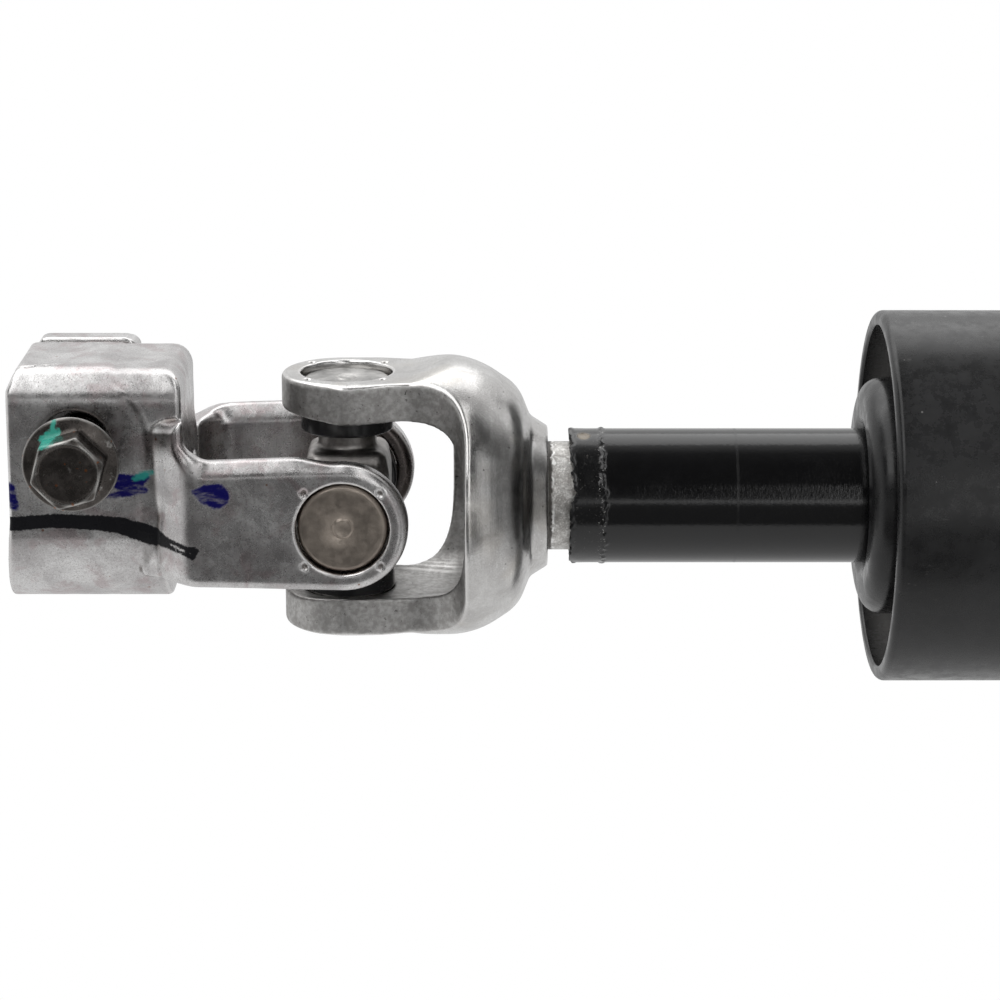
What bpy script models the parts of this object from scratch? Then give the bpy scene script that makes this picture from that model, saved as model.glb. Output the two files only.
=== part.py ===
"""Intermediate steering shaft: two needle-bearing universal joints, a sliding middle and a dash seal.

The shaft's axis is X, with the lower joint at -X and the origin midway between the two joints.
Z is the axis of the bell yokes' ears, and Y is the axis of the clamp yokes' ears. Each joint end is
drawn in the frame of its own joint: the centre of the cross is the origin and +X runs to the middle
of the shaft, so the upper end is the lower one turned half a turn about Z. Sizes are in metres.
"""

import math

import bmesh
import bpy
from mathutils import Matrix, Vector

# Gaps
FIT = 0.00025
RUNNING = 0.0003
OVERRUN = 0.002
MERGE = 0.000001

# Layout along the shaft
JOINT_SPAN = 0.260

# Bearing cups, sunk in the ears
CUP_DIAMETER = 0.0160
CUP_SINK = 0.0011
CUP_LENGTH = 0.0072
CUP_SHELL = 0.0012
CUP_BASE = 0.0014
CUP_EDGE = 0.0011
NEEDLE_DIAMETER = 0.0020
NEEDLE_COUNT = 14

# Cross
NECK_DIAMETER = 0.0105
SHOULDER_GAP = 0.0030
SHOULDER_RISE = 0.0023
SHOULDER_ROUNDING = 0.0020
TRUNNION_CHAMFER = 0.0005

# Trunnion seals
SEAL_THICKNESS = 0.0021
SEAL_LIP = 0.0005

# Stake marks that hold the cups
STAKE_OFFSET = 0.0013
STAKE_RADIUS = 0.0009
STAKE_DEPTH = 0.0006
STAKE_COUNT = 4

# Bell yoke
BELL_EAR_INSET = 0.0017
BELL_EAR_THICKNESS = 0.0064
BELL_EAR_RADIUS = 0.0117
BELL_ARM_WIDTH = 0.0210
BELL_ARM_FILLET = 0.0100
BELL_RIM = 0.0213
BELL_RADIUS = 0.0250
BELL_WALL = 0.0058
BELL_LENGTH = 0.0368
BELL_SHOULDER = 0.0130
BELL_BASE_THICKNESS = 0.0060
COLLAR_RADIUS = 0.0142
COLLAR_ROUNDING = 0.0010
YOKE_EDGE = 0.0005

# Clamp yoke
CLAMP_EAR_INSET = 0.0021
CLAMP_EAR_RADIUS = 0.0115
CLAMP_PLATE = 0.0055
CLAMP_ARM_HEIGHT = 0.0213
CLAMP_CROTCH = 0.0279
CROTCH_FILLET = 0.0060
CLAMP_STEP = 0.0283
STEP_FILLET = 0.0050
JOGGLE_LENGTH = 0.0050
ROOT_INSET = 0.0003
FORK_ROOT = 0.0350
CLAMP_LENGTH = 0.0590
CLAMP_FOOT = 0.0022
CLAMP_HALF_WIDTH = 0.0180
CLAMP_TOP = 0.0270
TOP_ROUNDING = 0.0045
END_CHAMFER = 0.0018
STEP_ROUNDING = 0.0040
BELLY_STEP = 0.0035
BELLY_FILLET = 0.0020
PINION_DIAMETER = 0.0170
SERRATION_DEPTH = 0.0006
SERRATION_COUNT = 36
SLOT_WIDTH = 0.0030
SLOT_OFFSET = 0.0065
TAB_LENGTH = 0.0186
TAB_OFFSET = 0.0008
TAB_ROUNDING = 0.0012
REAR_WALL_TOP = 0.0100
REAR_WALL_FILLET = 0.0030

# Pinch bolt, M8 with a flange head
BOLT_DIAMETER = 0.0080
BOLT_LENGTH = 0.0450
BOLT_ACROSS_FLATS = 0.0120
BOLT_HEAD_HEIGHT = 0.0058
BOLT_CROWN_INSET = 0.0003
BOLT_CROWN_ANGLE = math.radians(30)
BOLT_FLANGE_DIAMETER = 0.0168
BOLT_FLANGE_HEIGHT = 0.0016
BOLT_TIP_CHAMFER = 0.0010
BOLT_BACKED_OUT = 0.0105
BOLT_FROM_END = 0.0118
BOLT_TURN = math.radians(15)
BOLT_WEB = 0.0008
BOLT_HOLE_DIAMETER = 0.0084
COUNTERBORE_DIAMETER = 0.0130
COUNTERBORE_DEPTH = 0.0080

# Shaft tube, sleeve and sliding bar
TUBE_DIAMETER = 0.0197
TUBE_WALL = 0.0026
TUBE_END = 0.0480
SLEEVE_START = 0.0409
SLEEVE_WALL = 0.0021
SLEEVE_END = 0.0440
TORN_DEPTH = 0.0006
SPLINE_COUNT = 10
SPLINE_DEPTH = 0.0011
BAR_TIP = -0.0200
BAR_TIP_CHAMFER = 0.0008
JOURNAL_PAST_HUB = 0.0020
JOURNAL_TAPER = 0.0035

# Dash seal
SEAL_DIAMETER = 0.0673
SKIRT_LENGTH = 0.0664
SKIRT_WALL = 0.0027
SKIRT_ROUNDING = 0.0018
HUB_DIAMETER = 0.0430
HUB_ROUNDING = 0.0040
HUB_FRONT = -0.0347
HUB_LENGTH = 0.0400
HUB_LIP = 0.0008
WEB_FROM_RIM = 0.0180
WEB_THICKNESS = 0.0045
BUSH_WALL = 0.0024
BUSH_LENGTH = 0.0200
BUSH_SETBACK = 0.0060

# Facets round a full turn
MEDIUM = 48
SMALL = 24
ARC_COUNT = 16
EDGE_COUNT = 8
SHARP_ANGLE = math.radians(32)

# Sizes that follow from those above
BELL_EAR_FACE = BELL_RADIUS - BELL_EAR_INSET
CLAMP_EAR_FACE = BELL_RADIUS - CLAMP_EAR_INSET
CUP_RADIUS = CUP_DIAMETER / 2
CUP_FACE = BELL_EAR_FACE - CUP_SINK
CUP_MOUTH = CUP_FACE - CUP_LENGTH
NEEDLE_CIRCLE = CUP_RADIUS - CUP_SHELL - NEEDLE_DIAMETER / 2
TRUNNION_RADIUS = NEEDLE_CIRCLE - NEEDLE_DIAMETER / 2 - RUNNING
TRUNNION_END = CUP_FACE - CUP_BASE - RUNNING
SEAL_TOP = CUP_MOUTH - RUNNING
SEAL_BOTTOM = SEAL_TOP - SEAL_THICKNESS
SHOULDER_HEIGHT = SEAL_BOTTOM - SHOULDER_GAP
SHOULDER_RADIUS = SHOULDER_HEIGHT - SHOULDER_RISE
NECK_RADIUS = NECK_DIAMETER / 2
TUBE_RADIUS = TUBE_DIAMETER / 2
SPLINE_TIP = TUBE_RADIUS - TUBE_WALL - RUNNING
BELL_FLOOR = BELL_LENGTH - BELL_BASE_THICKNESS
BELL_EAR_INNER = BELL_EAR_FACE - BELL_EAR_THICKNESS
CLAMP_EAR_INNER = CLAMP_EAR_FACE - CLAMP_PLATE
BOLT_FROM_JOINT = CLAMP_LENGTH - BOLT_FROM_END
BOLT_HEIGHT = PINION_DIAMETER / 2 + BOLT_WEB + BOLT_HOLE_DIAMETER / 2
SLEEVE_RADIUS = TUBE_RADIUS + FIT + SLEEVE_WALL
SKIRT_END = SKIRT_LENGTH / 2

TURN_TO_AXIS = {"X": (0, math.pi / 2, 0), "Y": (-math.pi / 2, 0, 0), "Z": (0, 0, 0)}
OUTLINE_TO_AXIS = {
    "X": Matrix(((0, 0, 1, 0), (1, 0, 0, 0), (0, 1, 0, 0), (0, 0, 0, 1))),
    "Y": Matrix(((1, 0, 0, 0), (0, 0, -1, 0), (0, 1, 0, 0), (0, 0, 0, 1))),
    "Z": Matrix.Identity(4),
}


def clear_scene():
    """Remove the objects of the open scene."""
    for obj in list(bpy.data.objects):
        bpy.data.objects.remove(obj, do_unlink=True)


def new_collection(name):
    """A collection linked to the scene."""
    collection = bpy.data.collections.new(name)
    bpy.context.scene.collection.children.link(collection)
    return collection


def steel(name, colour, roughness):
    """Bare metal."""
    return finish(name, colour, roughness, 1.0)


def finish(name, colour, roughness, metallic=0.0):
    """A Principled material."""
    material = bpy.data.materials.new(name)
    material.use_nodes = True
    shader = material.node_tree.nodes["Principled BSDF"]
    shader.inputs["Base Color"].default_value = (*colour, 1.0)
    shader.inputs["Roughness"].default_value = roughness
    shader.inputs["Metallic"].default_value = metallic
    return material


def arc(centre, radius, start, end, facets=ARC_COUNT):
    """Points on an arc, angles in degrees, both ends included, with facets given for a full turn."""
    start, end = math.radians(start), math.radians(end)
    steps = max(1, math.ceil(facets * abs(end - start) / (2 * math.pi) - 0.001))
    angles = [start + (end - start) * index / steps for index in range(steps + 1)]
    return [(centre[0] + radius * math.cos(a), centre[1] + radius * math.sin(a)) for a in angles]


def rounded(corners, facets=ARC_COUNT):
    """A closed outline through (a, b, fillet radius) corners.

    A fillet is held to just under half of the shorter side beside it.
    """
    points = []
    for index, (a, b, radius) in enumerate(corners):
        here = Vector((a, b))
        if radius == 0:
            points.append((a, b))
            continue
        back = Vector(corners[index - 1][:2]) - here
        ahead = Vector(corners[(index + 1) % len(corners)][:2]) - here
        half = back.angle(ahead) / 2
        reach = min(radius / math.tan(half), 0.49 * back.length, 0.49 * ahead.length)
        fillet = reach * math.tan(half)
        centre = here + (back.normalized() + ahead.normalized()).normalized() * fillet / math.sin(half)
        first = here + back.normalized() * reach - centre
        last = here + ahead.normalized() * reach - centre
        begin = math.atan2(first.y, first.x)
        turn = math.remainder(math.atan2(last.y, last.x) - begin, 2 * math.pi)
        points += arc(centre, fillet, math.degrees(begin), math.degrees(begin + turn), facets)
    return points


def eased(start, end, steps):
    """Points of a smooth step from start to end, level at both ends."""
    points = []
    for index in range(steps + 1):
        share = index / steps
        rise = share * share * (3 - 2 * share)
        points.append((start[0] + (end[0] - start[0]) * share, start[1] + (end[1] - start[1]) * rise))
    return points


class Solid:
    """A closed solid under construction: a mesh, its modifiers and the tools that shape it."""

    def __init__(self, name, mesh):
        self.object = bpy.data.objects.new(name, mesh)
        bpy.data.collections["workshop"].objects.link(self.object)
        self.object.hide_render = True
        self.object.display_type = "WIRE"
        self.tools = []
        self.solver = "EXACT"

    def manifold(self):
        """Use the manifold solver from here on, where the exact one leaves open edges."""
        self.solver = "MANIFOLD"
        return self

    def turned_to(self, axis):
        """Lay the solid's own Z along a world axis."""
        self.object.rotation_euler = TURN_TO_AXIS[axis]
        return self

    def shaped_by(self, operation, tools):
        """Add one Boolean modifier for each tool."""
        for tool in tools:
            modifier = self.object.modifiers.new(tool.object.name, "BOOLEAN")
            modifier.operation = operation
            modifier.object = tool.object
            modifier.solver = self.solver
            self.tools += [tool.object] + tool.tools
        return self

    def cut(self, *tools):
        """Take the tools' space out of the solid."""
        return self.shaped_by("DIFFERENCE", tools)

    def join(self, *tools):
        """Join the tools to the solid."""
        return self.shaped_by("UNION", tools)

    def keep(self, *tools):
        """Keep only what lies inside each tool."""
        return self.shaped_by("INTERSECT", tools)

    def edged(self, width):
        """Take the sharpness off the edges."""
        bevel = self.object.modifiers.new("edges", "BEVEL")
        bevel.width = width
        bevel.segments = 1
        bevel.limit_method = "ANGLE"
        bevel.angle_limit = math.radians(50)
        return self

    def finished(self):
        """The evaluated mesh in the joint's frame, with the workshop objects removed."""
        depsgraph = bpy.context.evaluated_depsgraph_get()
        mesh = bpy.data.meshes.new_from_object(self.object.evaluated_get(depsgraph))
        mesh.transform(self.object.matrix_world)
        mesh.name = self.object.name
        mesh.shade_smooth()
        mesh.set_sharp_from_angle(angle=SHARP_ANGLE)
        for obj in set([self.object] + self.tools):
            bpy.data.objects.remove(obj, do_unlink=True)
        return mesh


def turned(name, profile, segments, axis="Z", hollow=False):
    """A turned solid from (radius, height) points that run down its outer side.

    A hollow one is a closed loop that comes back up its bore.
    """
    mesh = bpy.data.meshes.new(name)
    edges = [(index, index + 1) for index in range(len(profile) - 1)]
    if hollow:
        edges.append((len(profile) - 1, 0))
    mesh.from_pydata([(radius, 0, height) for radius, height in profile], edges, [])
    solid = Solid(name, mesh)
    screw = solid.object.modifiers.new("turn", "SCREW")
    screw.steps = segments
    screw.render_steps = segments
    screw.use_merge_vertices = True
    screw.merge_threshold = MERGE
    return solid.turned_to(axis)


def drilled(name, radius, low, high, segments, axis):
    """A plain round tool from low to high along an axis."""
    return turned(name, [(0, high), (radius, high), (radius, low), (0, low)], segments, axis)


def pushed(name, outline, low, high, axis):
    """A flat outline pushed along an axis, from low to high.

    The outline is in XY for Z, in XZ for Y and in YZ for X.
    """
    curve = bpy.data.curves.new(name, "CURVE")
    curve.dimensions = "2D"
    curve.fill_mode = "BOTH"
    curve.extrude = (high - low) / 2
    spline = curve.splines.new("POLY")
    spline.points.add(len(outline) - 1)
    for point, (a, b) in zip(spline.points, outline):
        point.co = (a, b, 0, 1)
    spline.use_cyclic_u = True
    drawn = bpy.data.objects.new(name, curve)
    bpy.data.collections["workshop"].objects.link(drawn)
    depsgraph = bpy.context.evaluated_depsgraph_get()
    mesh = bpy.data.meshes.new_from_object(drawn.evaluated_get(depsgraph))
    bpy.data.objects.remove(drawn, do_unlink=True)
    middle = Vector([(low + high) / 2 if axis == letter else 0 for letter in "XYZ"])
    mesh.transform(Matrix.Translation(middle) @ OUTLINE_TO_AXIS[axis])
    welded(mesh)
    return Solid(name, mesh)


def block(name, low, high):
    """A box between two corners."""
    mesh = bpy.data.meshes.new(name)
    shape = bmesh.new()
    bmesh.ops.create_cube(shape, size=1)
    low, high = Vector(low), Vector(high)
    bmesh.ops.scale(shape, vec=high - low, verts=shape.verts)
    bmesh.ops.translate(shape, vec=(low + high) / 2, verts=shape.verts)
    shape.to_mesh(mesh)
    shape.free()
    return Solid(name, mesh)


def welded(mesh):
    """Close the seams of a mesh and face it outwards."""
    shape = bmesh.new()
    shape.from_mesh(mesh)
    bmesh.ops.remove_doubles(shape, verts=shape.verts, dist=MERGE)
    bmesh.ops.recalc_face_normals(shape, faces=shape.faces)
    shape.to_mesh(mesh)
    shape.free()


def toothed_outline(tip, root, count, top_share, foot_share):
    """Outline of evenly spaced teeth, with the shares of the pitch at tip and foot."""
    pitch = 2 * math.pi / count
    points = []
    for index in range(count):
        middle = index * pitch
        for radius, offset in (
            (root, -foot_share / 2),
            (tip, -top_share / 2),
            (tip, top_share / 2),
            (root, foot_share / 2),
        ):
            angle = middle + offset * pitch
            points.append((radius * math.cos(angle), radius * math.sin(angle)))
    return points


def needle_bore_outline():
    """Outline of the space inside a ring of needle rollers."""
    points = []
    for index in range(NEEDLE_COUNT):
        out = 2 * math.pi * index / NEEDLE_COUNT
        for turn in (250, 180, 110):
            angle = out + math.radians(turn)
            points.append((
                NEEDLE_CIRCLE * math.cos(out) + NEEDLE_DIAMETER / 2 * math.cos(angle),
                NEEDLE_CIRCLE * math.sin(out) + NEEDLE_DIAMETER / 2 * math.sin(angle),
            ))
    return points


def bearing_cup():
    """A drawn cup with its ring of needle rollers, closed face at +Z."""
    edge = arc((CUP_RADIUS - CUP_EDGE, CUP_FACE - CUP_EDGE), CUP_EDGE, 90, 0, EDGE_COUNT)
    profile = [(0, CUP_FACE)] + edge + [(CUP_RADIUS, CUP_MOUTH), (0, CUP_MOUTH)]
    bore = pushed("bore", needle_bore_outline(), CUP_MOUTH - OVERRUN, CUP_FACE - CUP_BASE, "Z")
    return turned("bearing_cup", profile, SMALL).cut(bore).finished()


def trunnion_seal():
    """A rubber ring on the neck of a trunnion, just inside the cup's mouth."""
    outer, inner = CUP_RADIUS, NECK_RADIUS + FIT
    profile = [
        (outer, SEAL_TOP),
        (outer, SEAL_BOTTOM + SEAL_LIP),
        (outer - SEAL_LIP, SEAL_BOTTOM),
        (inner, SEAL_BOTTOM),
        (inner, SEAL_TOP),
    ]
    return turned("trunnion_seal", profile, SMALL, hollow=True).finished()


def trunnion_pair(name, axis):
    """Two opposite trunnions with their necks."""
    half = [
        (0, TRUNNION_END),
        (TRUNNION_RADIUS - TRUNNION_CHAMFER, TRUNNION_END),
        (TRUNNION_RADIUS, TRUNNION_END - TRUNNION_CHAMFER),
        (TRUNNION_RADIUS, CUP_MOUTH),
        (NECK_RADIUS, SEAL_TOP),
    ]
    mirrored = [(radius, -height) for radius, height in reversed(half)]
    return turned(name, half + mirrored, SMALL, axis)


def cross():
    """The spider: a rounded body with four shoulders, forged in one with its trunnions."""
    wide, high = SHOULDER_RADIUS, SHOULDER_HEIGHT
    corners = []
    for a, b in ((1, 1), (-1, 1), (-1, -1), (1, -1)):
        arm_first = [(a * wide, b * high, SHOULDER_ROUNDING), (a * wide, b * wide, 0)]
        arm_second = [(a * high, b * wide, SHOULDER_ROUNDING)]
        quarter = arm_first + arm_second
        corners += quarter if a * b < 0 else quarter[::-1]
    outline = rounded(corners, EDGE_COUNT)
    body = pushed("cross", outline, -wide, wide, "X").edged(SHOULDER_ROUNDING / 2)
    return body.manifold().join(trunnion_pair("pair_z", "Z"), trunnion_pair("pair_y", "Y")).finished()


def stake_marks(axis, face):
    """Tools for the marks punched round the cup holes, on both ears."""
    tools = []
    reach = CUP_RADIUS + STAKE_OFFSET
    for side in (-1, 1):
        for index in range(STAKE_COUNT):
            angle = 2 * math.pi * (index + 0.5) / STAKE_COUNT
            across, up = reach * math.cos(angle), reach * math.sin(angle)
            mark = turned("stake", [
                (0, OVERRUN),
                (STAKE_RADIUS, OVERRUN),
                (STAKE_RADIUS, 0),
                (0, -STAKE_DEPTH),
            ], 8)
            if axis == "Z":
                mark.object.location = (across, up, side * face)
                mark.object.rotation_euler = (0, 0 if side > 0 else math.pi, 0)
            else:
                mark.object.location = (across, side * face, up)
                mark.object.rotation_euler = (-side * math.pi / 2, 0, 0)
            tools.append(mark)
    return tools


def bell_envelope():
    """Outer profile of the bell, from the hub's end to past the ears."""
    ear_corner = math.hypot(BELL_EAR_FACE, BELL_EAR_RADIUS)
    centre = (BELL_RADIUS - BELL_SHOULDER, BELL_RIM)
    meet = math.degrees(math.acos((COLLAR_RADIUS - centre[0]) / BELL_SHOULDER))
    shoulder = arc(centre, BELL_SHOULDER, meet, 0)
    profile = rounded([
        (0, BELL_LENGTH, 0),
        (COLLAR_RADIUS, BELL_LENGTH, COLLAR_ROUNDING),
        (*shoulder[0], 0),
    ])
    profile += shoulder[1:]
    flare = eased((BELL_RIM, BELL_RADIUS), (BELL_EAR_RADIUS / 2, ear_corner), 3)
    profile += [(radius, along) for along, radius in flare[1:]]
    profile += [(ear_corner, -BELL_EAR_RADIUS - OVERRUN), (0, -BELL_EAR_RADIUS - OVERRUN)]
    return profile


def bell_hollow():
    """The space inside the bell and between its ears."""
    inner = BELL_RADIUS - BELL_WALL
    ear_corner = math.hypot(BELL_EAR_INNER, BELL_EAR_RADIUS)
    corner = BELL_SHOULDER - BELL_WALL / 2
    back = -BELL_EAR_RADIUS - 2 * OVERRUN
    profile = [(0, BELL_FLOOR)]
    profile += arc((inner - corner, BELL_FLOOR - corner), corner, 90, 0)
    flare = eased((BELL_FLOOR - corner, inner), (BELL_EAR_RADIUS / 2, ear_corner), 3)
    profile += [(radius, along) for along, radius in flare[1:]]
    profile += [(ear_corner, back), (0, back)]
    side = 2 * BELL_RADIUS
    between = block("between_ears", (2 * back, -side, -BELL_EAR_INNER), (side, side, BELL_EAR_INNER))
    return turned("hollow", profile, MEDIUM, "X").keep(between)


def bell_plan():
    """The bell yoke's outline seen along the ears: round ears, arms, and the flare to the bell."""
    half_arm = BELL_ARM_WIDTH / 2
    neck = math.degrees(math.asin(half_arm / BELL_EAR_RADIUS))
    past = BELL_RADIUS + OVERRUN
    corner = (BELL_RIM - BELL_ARM_FILLET, half_arm + BELL_ARM_FILLET)
    upper = arc((0, 0), BELL_EAR_RADIUS, 180, neck)
    upper += arc(corner, BELL_ARM_FILLET, -90, 0)
    upper += [(BELL_RIM, past), (BELL_LENGTH + OVERRUN, past)]
    return upper + [(a, -b) for a, b in reversed(upper[1:])]


def ear_flats():
    """Tools that face the outer sides of the bell yoke's ears, running out on the bell."""
    tools = []
    runout = BELL_RADIUS - BELL_EAR_FACE
    top = BELL_RADIUS + BELL_EAR_RADIUS
    for side in (-1, 1):
        outline = [
            (-BELL_EAR_RADIUS - 2 * OVERRUN, side * BELL_EAR_FACE),
            (BELL_EAR_RADIUS, side * BELL_EAR_FACE),
            (BELL_RIM + OVERRUN, side * (BELL_EAR_FACE + 2 * runout)),
            (BELL_RIM + OVERRUN, side * top),
            (-BELL_EAR_RADIUS - 2 * OVERRUN, side * top),
        ]
        tools.append(pushed("ear_flat", outline, -BELL_RADIUS, BELL_RADIUS, "Y"))
    return tools


def bell_yoke():
    """The forged yoke at the end of the shaft: two ears, a bell open at both sides, and a hub."""
    past = BELL_RADIUS + OVERRUN
    yoke = turned("bell_yoke", bell_envelope(), MEDIUM, "X")
    yoke.keep(pushed("plan", bell_plan(), -past, past, "Z"))
    yoke.cut(*ear_flats())
    yoke.cut(bell_hollow())
    yoke.manifold().cut(drilled("cup_holes", CUP_RADIUS + FIT, -past, past, SMALL, "Z"))
    yoke.cut(drilled("hub_bore", TUBE_RADIUS + FIT, 0, BELL_LENGTH + OVERRUN, MEDIUM, "X"))
    yoke.cut(*stake_marks("Z", BELL_EAR_FACE))
    return yoke.finished()


def fork_plan():
    """The clamp yoke's fork seen from above: two plates joggled out from the clamp block."""
    in_belly = math.sqrt(CLAMP_HALF_WIDTH ** 2 - (CLAMP_ARM_HEIGHT / 2) ** 2) - ROOT_INSET
    front = CLAMP_EAR_RADIUS + OVERRUN
    outer = eased((-FORK_ROOT, in_belly), (-CLAMP_STEP + JOGGLE_LENGTH / 2, CLAMP_EAR_FACE), 6)
    crotch = (-CLAMP_CROTCH + CROTCH_FILLET, CLAMP_EAR_INNER - CROTCH_FILLET)
    inner = [(front, CLAMP_EAR_FACE), (front, CLAMP_EAR_INNER)] + arc(crotch, CROTCH_FILLET, 90, 180)
    side = outer + inner
    return side + [(a, -b) for a, b in reversed(side)]


def fork_side():
    """The fork seen along its ears' axis: round ears, tapering arms and the fillet up to the block."""
    half = CLAMP_ARM_HEIGHT / 2
    lean = math.degrees(math.asin((CLAMP_EAR_RADIUS - half) / CLAMP_CROTCH))
    fillet = arc((-CLAMP_STEP + STEP_FILLET, half + STEP_FILLET), STEP_FILLET, -90, -180)
    outline = arc((0, 0), CLAMP_EAR_RADIUS, lean - 90, 90 - lean) + fillet
    return outline + [(-FORK_ROOT, half + STEP_FILLET), (-FORK_ROOT, -half)]


def clamp_section():
    """The clamp block seen along the shaft: a round belly, flat sides and a rounded top."""
    width = CLAMP_HALF_WIDTH
    belly = arc((0, 0), width, 0, -180)
    top = rounded([
        (-width, CLAMP_TOP, TOP_ROUNDING),
        (width, CLAMP_TOP, YOKE_EDGE * 2),
        (width, 0, 0),
        (-width, 0, 0),
    ])
    return belly + top[:-2]


def clamp_side():
    """The clamp block seen along the bolt: slanted end, chamfered top and stepped belly."""
    end = -CLAMP_LENGTH
    low = -CLAMP_HALF_WIDTH - OVERRUN
    high = CLAMP_TOP + OVERRUN
    arm = ROOT_INSET - CLAMP_ARM_HEIGHT / 2
    belly_end = -CLAMP_STEP - BELLY_STEP
    return rounded([
        (end - CLAMP_FOOT, low, 0),
        (end, 0, 0),
        (end, CLAMP_TOP - 2 * END_CHAMFER, 0),
        (end + END_CHAMFER, CLAMP_TOP, 0),
        (end + END_CHAMFER, high, 0),
        (-CLAMP_STEP - 3 * STEP_ROUNDING, high, 0),
        (-CLAMP_STEP - 3 * STEP_ROUNDING, CLAMP_TOP, 0),
        (-CLAMP_STEP, CLAMP_TOP, STEP_ROUNDING),
        (-CLAMP_STEP, arm, 0),
        (belly_end, arm, BELLY_FILLET),
        (belly_end, low, 0),
    ])


def rear_wall_cuts():
    """Tools that lower the rear wall on both sides of its threaded tab."""
    slot_face = SLOT_OFFSET + SLOT_WIDTH / 2
    outside = CLAMP_HALF_WIDTH + CLAMP_EAR_FACE
    high = CLAMP_TOP + OVERRUN
    tools = []
    for side, far in ((-1, -CLAMP_LENGTH - CLAMP_FOOT - OVERRUN), (1, 0)):
        edge = -BOLT_FROM_JOINT - TAB_OFFSET + side * TAB_LENGTH / 2
        corner = edge - side * TAB_ROUNDING
        outline = rounded([
            (far, REAR_WALL_TOP, 0),
            (edge, REAR_WALL_TOP, REAR_WALL_FILLET),
            (edge, CLAMP_TOP - 2 * TAB_ROUNDING, 0),
            (corner, CLAMP_TOP, 0),
            (corner, high, 0),
            (far, high, 0),
        ])
        tools.append(pushed("rear_wall", outline, slot_face, outside, "Y"))
    return tools


def clamp_yoke():
    """The forged yoke that clamps the pinion: split block, joggle, fork and ears."""
    width = CLAMP_HALF_WIDTH
    end = -CLAMP_LENGTH - CLAMP_FOOT - OVERRUN
    past = CLAMP_EAR_FACE + OVERRUN
    top = CLAMP_TOP + OVERRUN
    fork = pushed("fork", fork_plan(), -past, past, "Z")
    fork.keep(pushed("fork_side", fork_side(), -past, past, "Y"))
    yoke = pushed("clamp_yoke", clamp_section(), end, 0, "X")
    yoke.keep(pushed("clamp_side", clamp_side(), -past, past, "Y"))
    yoke.manifold().join(fork)
    slot = SLOT_OFFSET - SLOT_WIDTH / 2
    yoke.cut(block("slot", (end, slot, 0), (0, slot + SLOT_WIDTH, top)))
    yoke.cut(*rear_wall_cuts())
    tip = PINION_DIAMETER / 2
    teeth = toothed_outline(tip, tip - SERRATION_DEPTH, SERRATION_COUNT, 0.2, 0.8)
    yoke.cut(pushed("pinion_bore", teeth, end, 0, "X"))
    hole = drilled("bolt_hole", BOLT_HOLE_DIAMETER / 2, -past, past, SMALL, "Y")
    hole.object.location = (-BOLT_FROM_JOINT, 0, BOLT_HEIGHT)
    counterbore = drilled(
        "counterbore", COUNTERBORE_DIAMETER / 2, -past, COUNTERBORE_DEPTH - width, SMALL, "Y"
    )
    counterbore.object.location = hole.object.location
    yoke.cut(hole, counterbore)
    yoke.cut(drilled("cup_holes", CUP_RADIUS + FIT, -past, past, SMALL, "Y"))
    yoke.cut(*stake_marks("Y", CLAMP_EAR_FACE))
    return yoke.finished()


def pinch_bolt():
    """A flange bolt along Z, with the underside of its flange at the origin."""
    radius = BOLT_DIAMETER / 2
    flange = BOLT_FLANGE_DIAMETER / 2
    crest = BOLT_FLANGE_HEIGHT + BOLT_HEAD_HEIGHT
    hex_radius = BOLT_ACROSS_FLATS / math.sqrt(3)
    angles = [math.pi * index / 3 for index in range(6)]
    hexagon = [(hex_radius * math.cos(a), hex_radius * math.sin(a)) for a in angles]
    head = pushed("head", hexagon, BOLT_FLANGE_HEIGHT / 2, crest + OVERRUN, "Z")
    crown = BOLT_ACROSS_FLATS / 2 - BOLT_CROWN_INSET
    skirt = hex_radius + OVERRUN
    head.keep(turned("head_crown", [
        (0, crest),
        (crown, crest),
        (skirt, crest - (skirt - crown) * math.tan(BOLT_CROWN_ANGLE)),
        (skirt, 0),
        (0, 0),
    ], MEDIUM))
    bolt = turned("pinch_bolt", [
        (0, BOLT_FLANGE_HEIGHT),
        (BOLT_ACROSS_FLATS / 2, BOLT_FLANGE_HEIGHT),
        (flange, BOLT_FLANGE_HEIGHT / 2),
        (flange, 0),
        (radius, 0),
        (radius, BOLT_TIP_CHAMFER - BOLT_LENGTH),
        (radius - BOLT_TIP_CHAMFER, -BOLT_LENGTH),
        (0, -BOLT_LENGTH),
    ], SMALL)
    return bolt.join(head).finished()


def spline_outline(clearance):
    """The sliding splines' outline, grown by a clearance."""
    tip = SPLINE_TIP + clearance
    share = clearance * SPLINE_COUNT / (math.pi * SPLINE_TIP)
    return toothed_outline(tip, tip - SPLINE_DEPTH, SPLINE_COUNT, 0.34 + share, 0.56 + share)


def shaft_tube():
    """The steel tube from the lower hub, splined inside, along world X."""
    start = BELL_FLOOR - JOINT_SPAN / 2 + FIT
    profile = [(0, TUBE_END), (TUBE_RADIUS, TUBE_END), (TUBE_RADIUS, start), (0, start)]
    bore = pushed("spline_bore", spline_outline(RUNNING), start - OVERRUN, TUBE_END + OVERRUN, "X")
    return turned("shaft_tube", profile, MEDIUM, "X").cut(bore).finished()


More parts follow.
